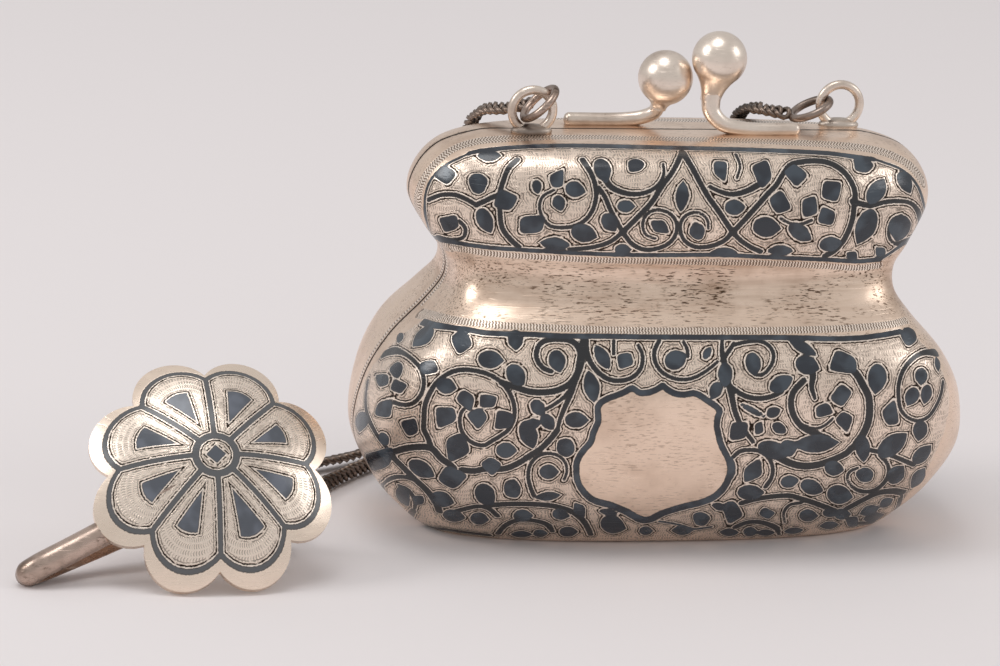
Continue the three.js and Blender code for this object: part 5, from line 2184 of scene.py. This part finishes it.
        spare = len(points) - len(spot)
        values = {name: np.concatenate([numbers, np.full(spare, BARE_FACE[name])])
                  for name, numbers in self.pattern(spot).items()}
        chart = np.vstack([self.strokes(spot), np.zeros((spare, 2))])
        return Form(points, faces), values, chart

    def engraver_spot(self, spot: np.ndarray) -> np.ndarray:
        """Moves places back by the ring's shift times one less the square of their share of the radius."""
        inside = (1 - (spot**2).sum(1, keepdims=True) / self.radius**2).clip(0)
        return spot - np.array(self.hub_shift) * inside

    def pattern(self, spot: np.ndarray) -> dict[str, np.ndarray]:
        """Works out the niello: a scalloped line, dividers, a ring and diamond, and a spot a petal.

        The scalloped line is an arc in each petal through its top and both cusps. A spot is a wedge whose
        half width grows evenly from its point to its end.

        Args:
            spot: Places on the plate, seen from above.

        Returns:
            Distances to the niello and zigzag, and the amount of engraved ground.
        """
        spot = self.engraver_spot(spot)
        reach = np.hypot(spot[:, 0], spot[:, 1])
        angle = np.arctan2(spot[:, 1], spot[:, 0])
        pitch = 2 * math.pi / self.petals
        off = np.mod(angle, pitch) - pitch / 2
        along, across = reach * np.cos(off), reach * np.sin(off)
        petal = np.floor(np.mod(angle, 2 * math.pi) / pitch).astype(int) % self.petals
        top, cusp = self.radius - self.line_inset, self.cusp_reach
        half_pitch = pitch / 2
        centre = (top**2 - cusp**2) / 2 / (top - cusp * math.cos(half_pitch))
        from_arc = np.hypot(along - centre, across) - (top - centre)
        scallop = np.where(along > centre * self.scallop_from, np.abs(from_arc), FAR) - self.line_half
        divider = np.where((reach > self.hub) & (reach < cusp), reach * np.sin(half_pitch - np.abs(off)), FAR)
        divider = divider - self.divider_half
        hub = np.abs(reach - self.hub) - self.hub_half
        diamond = (np.abs(spot[:, 0]) + np.abs(spot[:, 1]) - self.diamond) / math.sqrt(2)
        start, end, wide, shift, lean = np.array(self.wedges)[petal].T
        share = (along - start) / (end - start)
        aside = across - shift - lean * (along - end)
        wedge = np.maximum(np.abs(aside) - wide * share, along - end + self.wedge_round * aside**2)
        stem, leaf = np.minimum.reduce([scallop, divider, hub]), np.minimum(diamond, wedge * self.wedge_slim)
        ground = (from_arc < 0) | (along < centre)
        return {"stem": stem.clip(-FAR, FAR), "leaf": leaf.clip(-FAR, FAR), "zigzag": np.full(len(spot), FAR),
                "zigzag_run": np.zeros(len(spot)), "ground": ground * 1.0, "hollow": np.zeros(len(spot))}

    def strokes(self, spot: np.ndarray) -> np.ndarray:
        """Gives the chart of the engraving: strokes point at each petal's spot, in rows round it.

        Args:
            spot: Places on the plate, seen from above.

        Returns:
            Length round the spot and length from it, for each place.
        """
        spot = self.engraver_spot(spot)
        reach = np.hypot(spot[:, 0], spot[:, 1])
        pitch = 2 * math.pi / self.petals
        off = np.mod(np.arctan2(spot[:, 1], spot[:, 0]), pitch) - pitch / 2
        along, across = reach * np.cos(off) - self.stroke_centre, reach * np.sin(off)
        return np.stack([np.arctan2(across, along) * self.stroke_round, np.hypot(along, across)], -1)

    def hook(self) -> Form:
        """Works out the half-round strip, bent under the plate, past its edge and back below it."""
        steps, sides = self.hook_steps
        way = smooth_way(np.array([[reach, 0.0, height] for reach, height in self.hook_way]), steps)
        half = self.strip_width / 2
        angle = np.linspace(0, math.pi, sides)
        crown = np.stack([half * np.cos(angle), self.crown_height * np.sin(angle) - self.strip_thick / 2], -1)
        return swept(way, crown, DEPTH).turned("Z", self.hook_angle)

    def behind(self) -> Form:
        """Works out the eye and its stem behind the plate."""
        middle = np.array(self.eye)
        ring = wire_ring(self.eye_radius, self.eye_wire, *self.eye_steps).moved(rotation("X", 90.0), middle)
        stem = self.eye_wire * 2
        post = revolved(np.array([[stem, 0.0], [stem, self.eye_radius]]), self.post_sides)
        return joined(ring, post.moved(np.eye(3), middle + [0, 0, self.eye_radius]))

    def build(self) -> bpy.types.Object:
        """Makes the plate, the hook behind it and the ring, leaning on the table.

        Returns:
            The plate's piece.
        """
        low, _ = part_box("belt_hook")
        lean = rotation("X", self.lean)
        form, values, chart = self.plate()
        form = form.turned("Z", self.turn)
        bent = joined(self.hook(), self.behind())
        lowest = min((part.points @ lean.T)[:, 2].min() for part in (form, bent))
        place = np.array([*self.place, low[2] / MM - lowest])
        form = form.moved(lean, place)
        plate = form.object("rosette_plate", Slot.ROSETTE, ROSETTE_SILVER.material(), self.plate_crease)
        for name, numbers in values.items():
            give_values(plate, name, numbers)
        give_chart(plate, chart)
        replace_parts(plate, "belt_hook")
        bent.moved(lean, place).object("hook_strip", Slot.ROSETTE, HOOK_SILVER.material(), self.hook_crease)
        slope = math.radians(self.ring_slope)
        ring = JumpRing("hook_ring", (0, 0, 0), 0.0, DARK_SILVER)
        hang = ring.radius / 2
        middle = np.array(self.eye) + [0, hang * math.cos(slope), hang * math.sin(slope) - self.eye_radius]
        wire = wire_ring(ring.radius, ring.wire).moved(rotation("Y", 90.0), middle).moved(lean, place)
        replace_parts(wire.object("hook_ring_wire", Slot.WIRE, DARK_SILVER.material()), "hook_ring")
        return plate


CLASPS = (
    Clasp("front_clasp", FRONT_TURN, (5.25, -1.0, 62.05), 2.1, 9.0,
          ((4.35, -1.3, 57.4), (4.5, -1.7, 55.3), (5.9, -2.2, 53.8), (8.6, -2.4, 53.2), (16.2, -2.4, 53.15)),
          neck_wide=1.95, neck_swell=1.45),
    Clasp("back_clasp", BACK_TURN, (1.2, -1.0, 59.05), 0.7, -9.5,
          ((1.9, -1.2, 55.4), (2.2, -1.6, 54.4), (3.6, -2.1, 53.6), (6.0, -2.4, 53.2), (14.0, -2.4, 53.15))),
)
LUGS = (
    Lug("front_lug", FRONT_TURN, (-19.2, -2.3, 55.4)),
    Lug("back_lug", BACK_TURN, (-22.9, -3.0, 55.2)),
)
JUMP_RINGS = (
    JumpRing("jump_ring_left", (-18.32, -2.3, 56.28), 45.0, HOOK_SILVER),
    JumpRing("jump_ring_right", (19.01, 3.0, 54.61), 26.0, DARK_SILVER),
)
# Height of the chains' middle line where they lie on the table
TABLE_CHAIN = 1.25
CHAINS = (
    Chain("chain_left", (
        (-19.3, 1.3, 55.3), (-21.6, 3.4, 54.3), (-23.4, 6.4, 53.5), (-24.2, 10.0, 51.4),
        (-24.4, 12.6, 47.9), (-24.4, 13.5, 43.6), (-24.2, 14.0, 38.5), (-24.0, 15.3, 34.0),
        (-23.6, 17.7, 30.6), (-23.2, 20.8, 25.8), (-22.8, 21.8, 19.5), (-22.4, 21.5, 13.0),
        (-22.0, 21.5, 6.0), (-21.0, 21.7, 2.4), (-18.4, 22.4, TABLE_CHAIN), (-13.0, 23.6, TABLE_CHAIN),
        (-9.6, 26.4, TABLE_CHAIN), (-11.2, 30.0, TABLE_CHAIN), (-17.0, 31.0, TABLE_CHAIN),
        (-27.0, 26.0, TABLE_CHAIN), (-38.7, 14.6, TABLE_CHAIN), (-45.6, 4.6, TABLE_CHAIN),
        (-49.4, -4.4, TABLE_CHAIN), (-50.3, -10.2, 2.8), (-49.95, -13.6, 8.1))),
    Chain("chain_right", (
        (15.5, 3.8, 53.85), (13.6, 5.6, 53.85), (12.4, 9.0, 53.3), (12.0, 12.6, 51.2), (12.0, 14.9, 47.6),
        (12.0, 15.8, 43.4), (12.0, 15.9, 38.5), (12.0, 16.4, 34.2), (12.0, 18.6, 30.6), (12.0, 21.6, 25.8),
        (12.0, 22.2, 19.5), (12.0, 22.0, 13.0), (12.0, 22.0, 6.0), (11.4, 22.5, 2.4),
        (9.4, 24.4, TABLE_CHAIN), (4.0, 30.6, TABLE_CHAIN), (-6.0, 36.0, TABLE_CHAIN),
        (-20.0, 34.6, TABLE_CHAIN), (-37.4, 22.2, TABLE_CHAIN), (-50.0, 15.6, TABLE_CHAIN),
        (-59.0, 8.4, TABLE_CHAIN), (-61.8, 0.0, TABLE_CHAIN), (-58.0, -6.6, TABLE_CHAIN),
        (-53.9, -10.6, 2.8), (-52.45, -13.6, 8.1))),
)


@dataclass(frozen=True)
class SoftLight:
    """A square soft light.

    Args:
        name: Name of the light.
        place: Where it hangs, in metres.
        aim: What it points at, in metres.
        size: Side of the square in metres.
        power: Watts.
    """

    name: str
    place: tuple[float, float, float]
    aim: tuple[float, float, float]
    size: float
    power: float

    def build(self) -> bpy.types.Object:
        """Hangs the light at its place, turned to its aim."""
        data = bpy.data.lights.new(self.name, "AREA")
        data.shape, data.size, data.energy = "SQUARE", self.size, self.power
        lamp = bpy.data.objects.new(self.name, data)
        lamp.location = self.place
        lamp.rotation_euler = (Vector(self.aim) - Vector(self.place)).to_track_quat("-Z", "Y").to_euler()
        bpy.context.scene.collection.objects.link(lamp)
        return lamp


@dataclass
class Studio:
    """Pale floor, soft lights and the sky that the silver mirrors.

    Args:
        floor_size: Side of the floor in metres.
        floor_colour: Colour of the floor.
        sky_colour: Colour of the surroundings.
        sky_strength: Strength of the surroundings.
        floor_rough: Roughness of the floor.
        floor_gloss: How much of a gloss it has.
        lights: Its soft lights.
    """

    floor_size: float = 6.0
    floor_colour: Colour = (0.82, 0.775, 0.775, 1.0)
    sky_colour: Colour = (0.99, 0.98, 0.98, 1.0)
    sky_strength: float = 0.60
    floor_rough: float = 0.9
    floor_gloss: float = 0.1
    lights: tuple[SoftLight, ...] = (
        SoftLight("key_light", (-0.80, -0.02, 0.60), (0.0, 0.0, 0.03), 0.34, 2.0),
        SoftLight("fill_light", (0.76, -0.22, 0.45), (0.02, 0.0, 0.03), 0.36, 0.8),
        SoftLight("top_light", (-0.14, -0.06, 0.9), (0.0, 0.0, 0.03), 0.42, 1.7),
    )

    def floor(self) -> bpy.types.Object:
        """Makes the floor, a flat square under the part."""
        half = self.floor_size / 2
        mesh = bpy.data.meshes.new("floor")
        corners = [(-half, -half, 0.0), (half, -half, 0.0), (half, half, 0.0), (-half, half, 0.0)]
        mesh.from_pydata(corners, [], [[0, 1, 2, 3]])
        paper = bpy.data.materials.new("pale_paper")
        paper.use_nodes = True
        shade = paper.node_tree.nodes["Principled BSDF"]
        shade.inputs["Base Color"].default_value = self.floor_colour
        shade.inputs["Roughness"].default_value = self.floor_rough
        shade.inputs["Specular IOR Level"].default_value = self.floor_gloss
        mesh.materials.append(paper)
        floor = bpy.data.objects.new("floor", mesh)
        bpy.context.scene.collection.objects.link(floor)
        return floor

    def build(self) -> None:
        """Makes the floor, the surroundings and the lights."""
        self.floor()
        world = bpy.data.worlds.new("studio")
        world.use_nodes = True
        sky = world.node_tree.nodes["Background"]
        sky.inputs["Color"].default_value = self.sky_colour
        sky.inputs["Strength"].default_value = self.sky_strength
        bpy.context.scene.world = world
        bpy.context.scene.view_settings.view_transform = "Standard"
        for light in self.lights:
            light.build()


def main() -> None:
    """Builds the pieces in order, dresses them and sets the stage."""
    logging.basicConfig(level=logging.INFO, format="%(name)s: %(message)s")
    view = Viewpoint()
    view.build()
    form = ShellForm()
    grid = form.grid()
    niello = Niello(view, grid)
    values = {**niello.distances(), **niello.zigzag_distances()}
    values.update(ground=niello.ground(), hollow=niello.hollow())
    for shell in (Shell("front_shell", FRONT_TURN, 0, form), Shell("back_shell", BACK_TURN, 1, form)):
        log.info("built %s", shell.build(grid, values).name)
    for part in (*CLASPS, *LUGS, *JUMP_RINGS, *CHAINS, BeltHook()):
        log.info("built %s", part.build().name)
    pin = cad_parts["hinge_pin"]
    pin.data.materials.clear()
    pin.data.materials.append(WIRE_SILVER.material())
    Studio().build()


if __name__ == "__main__":
    main()
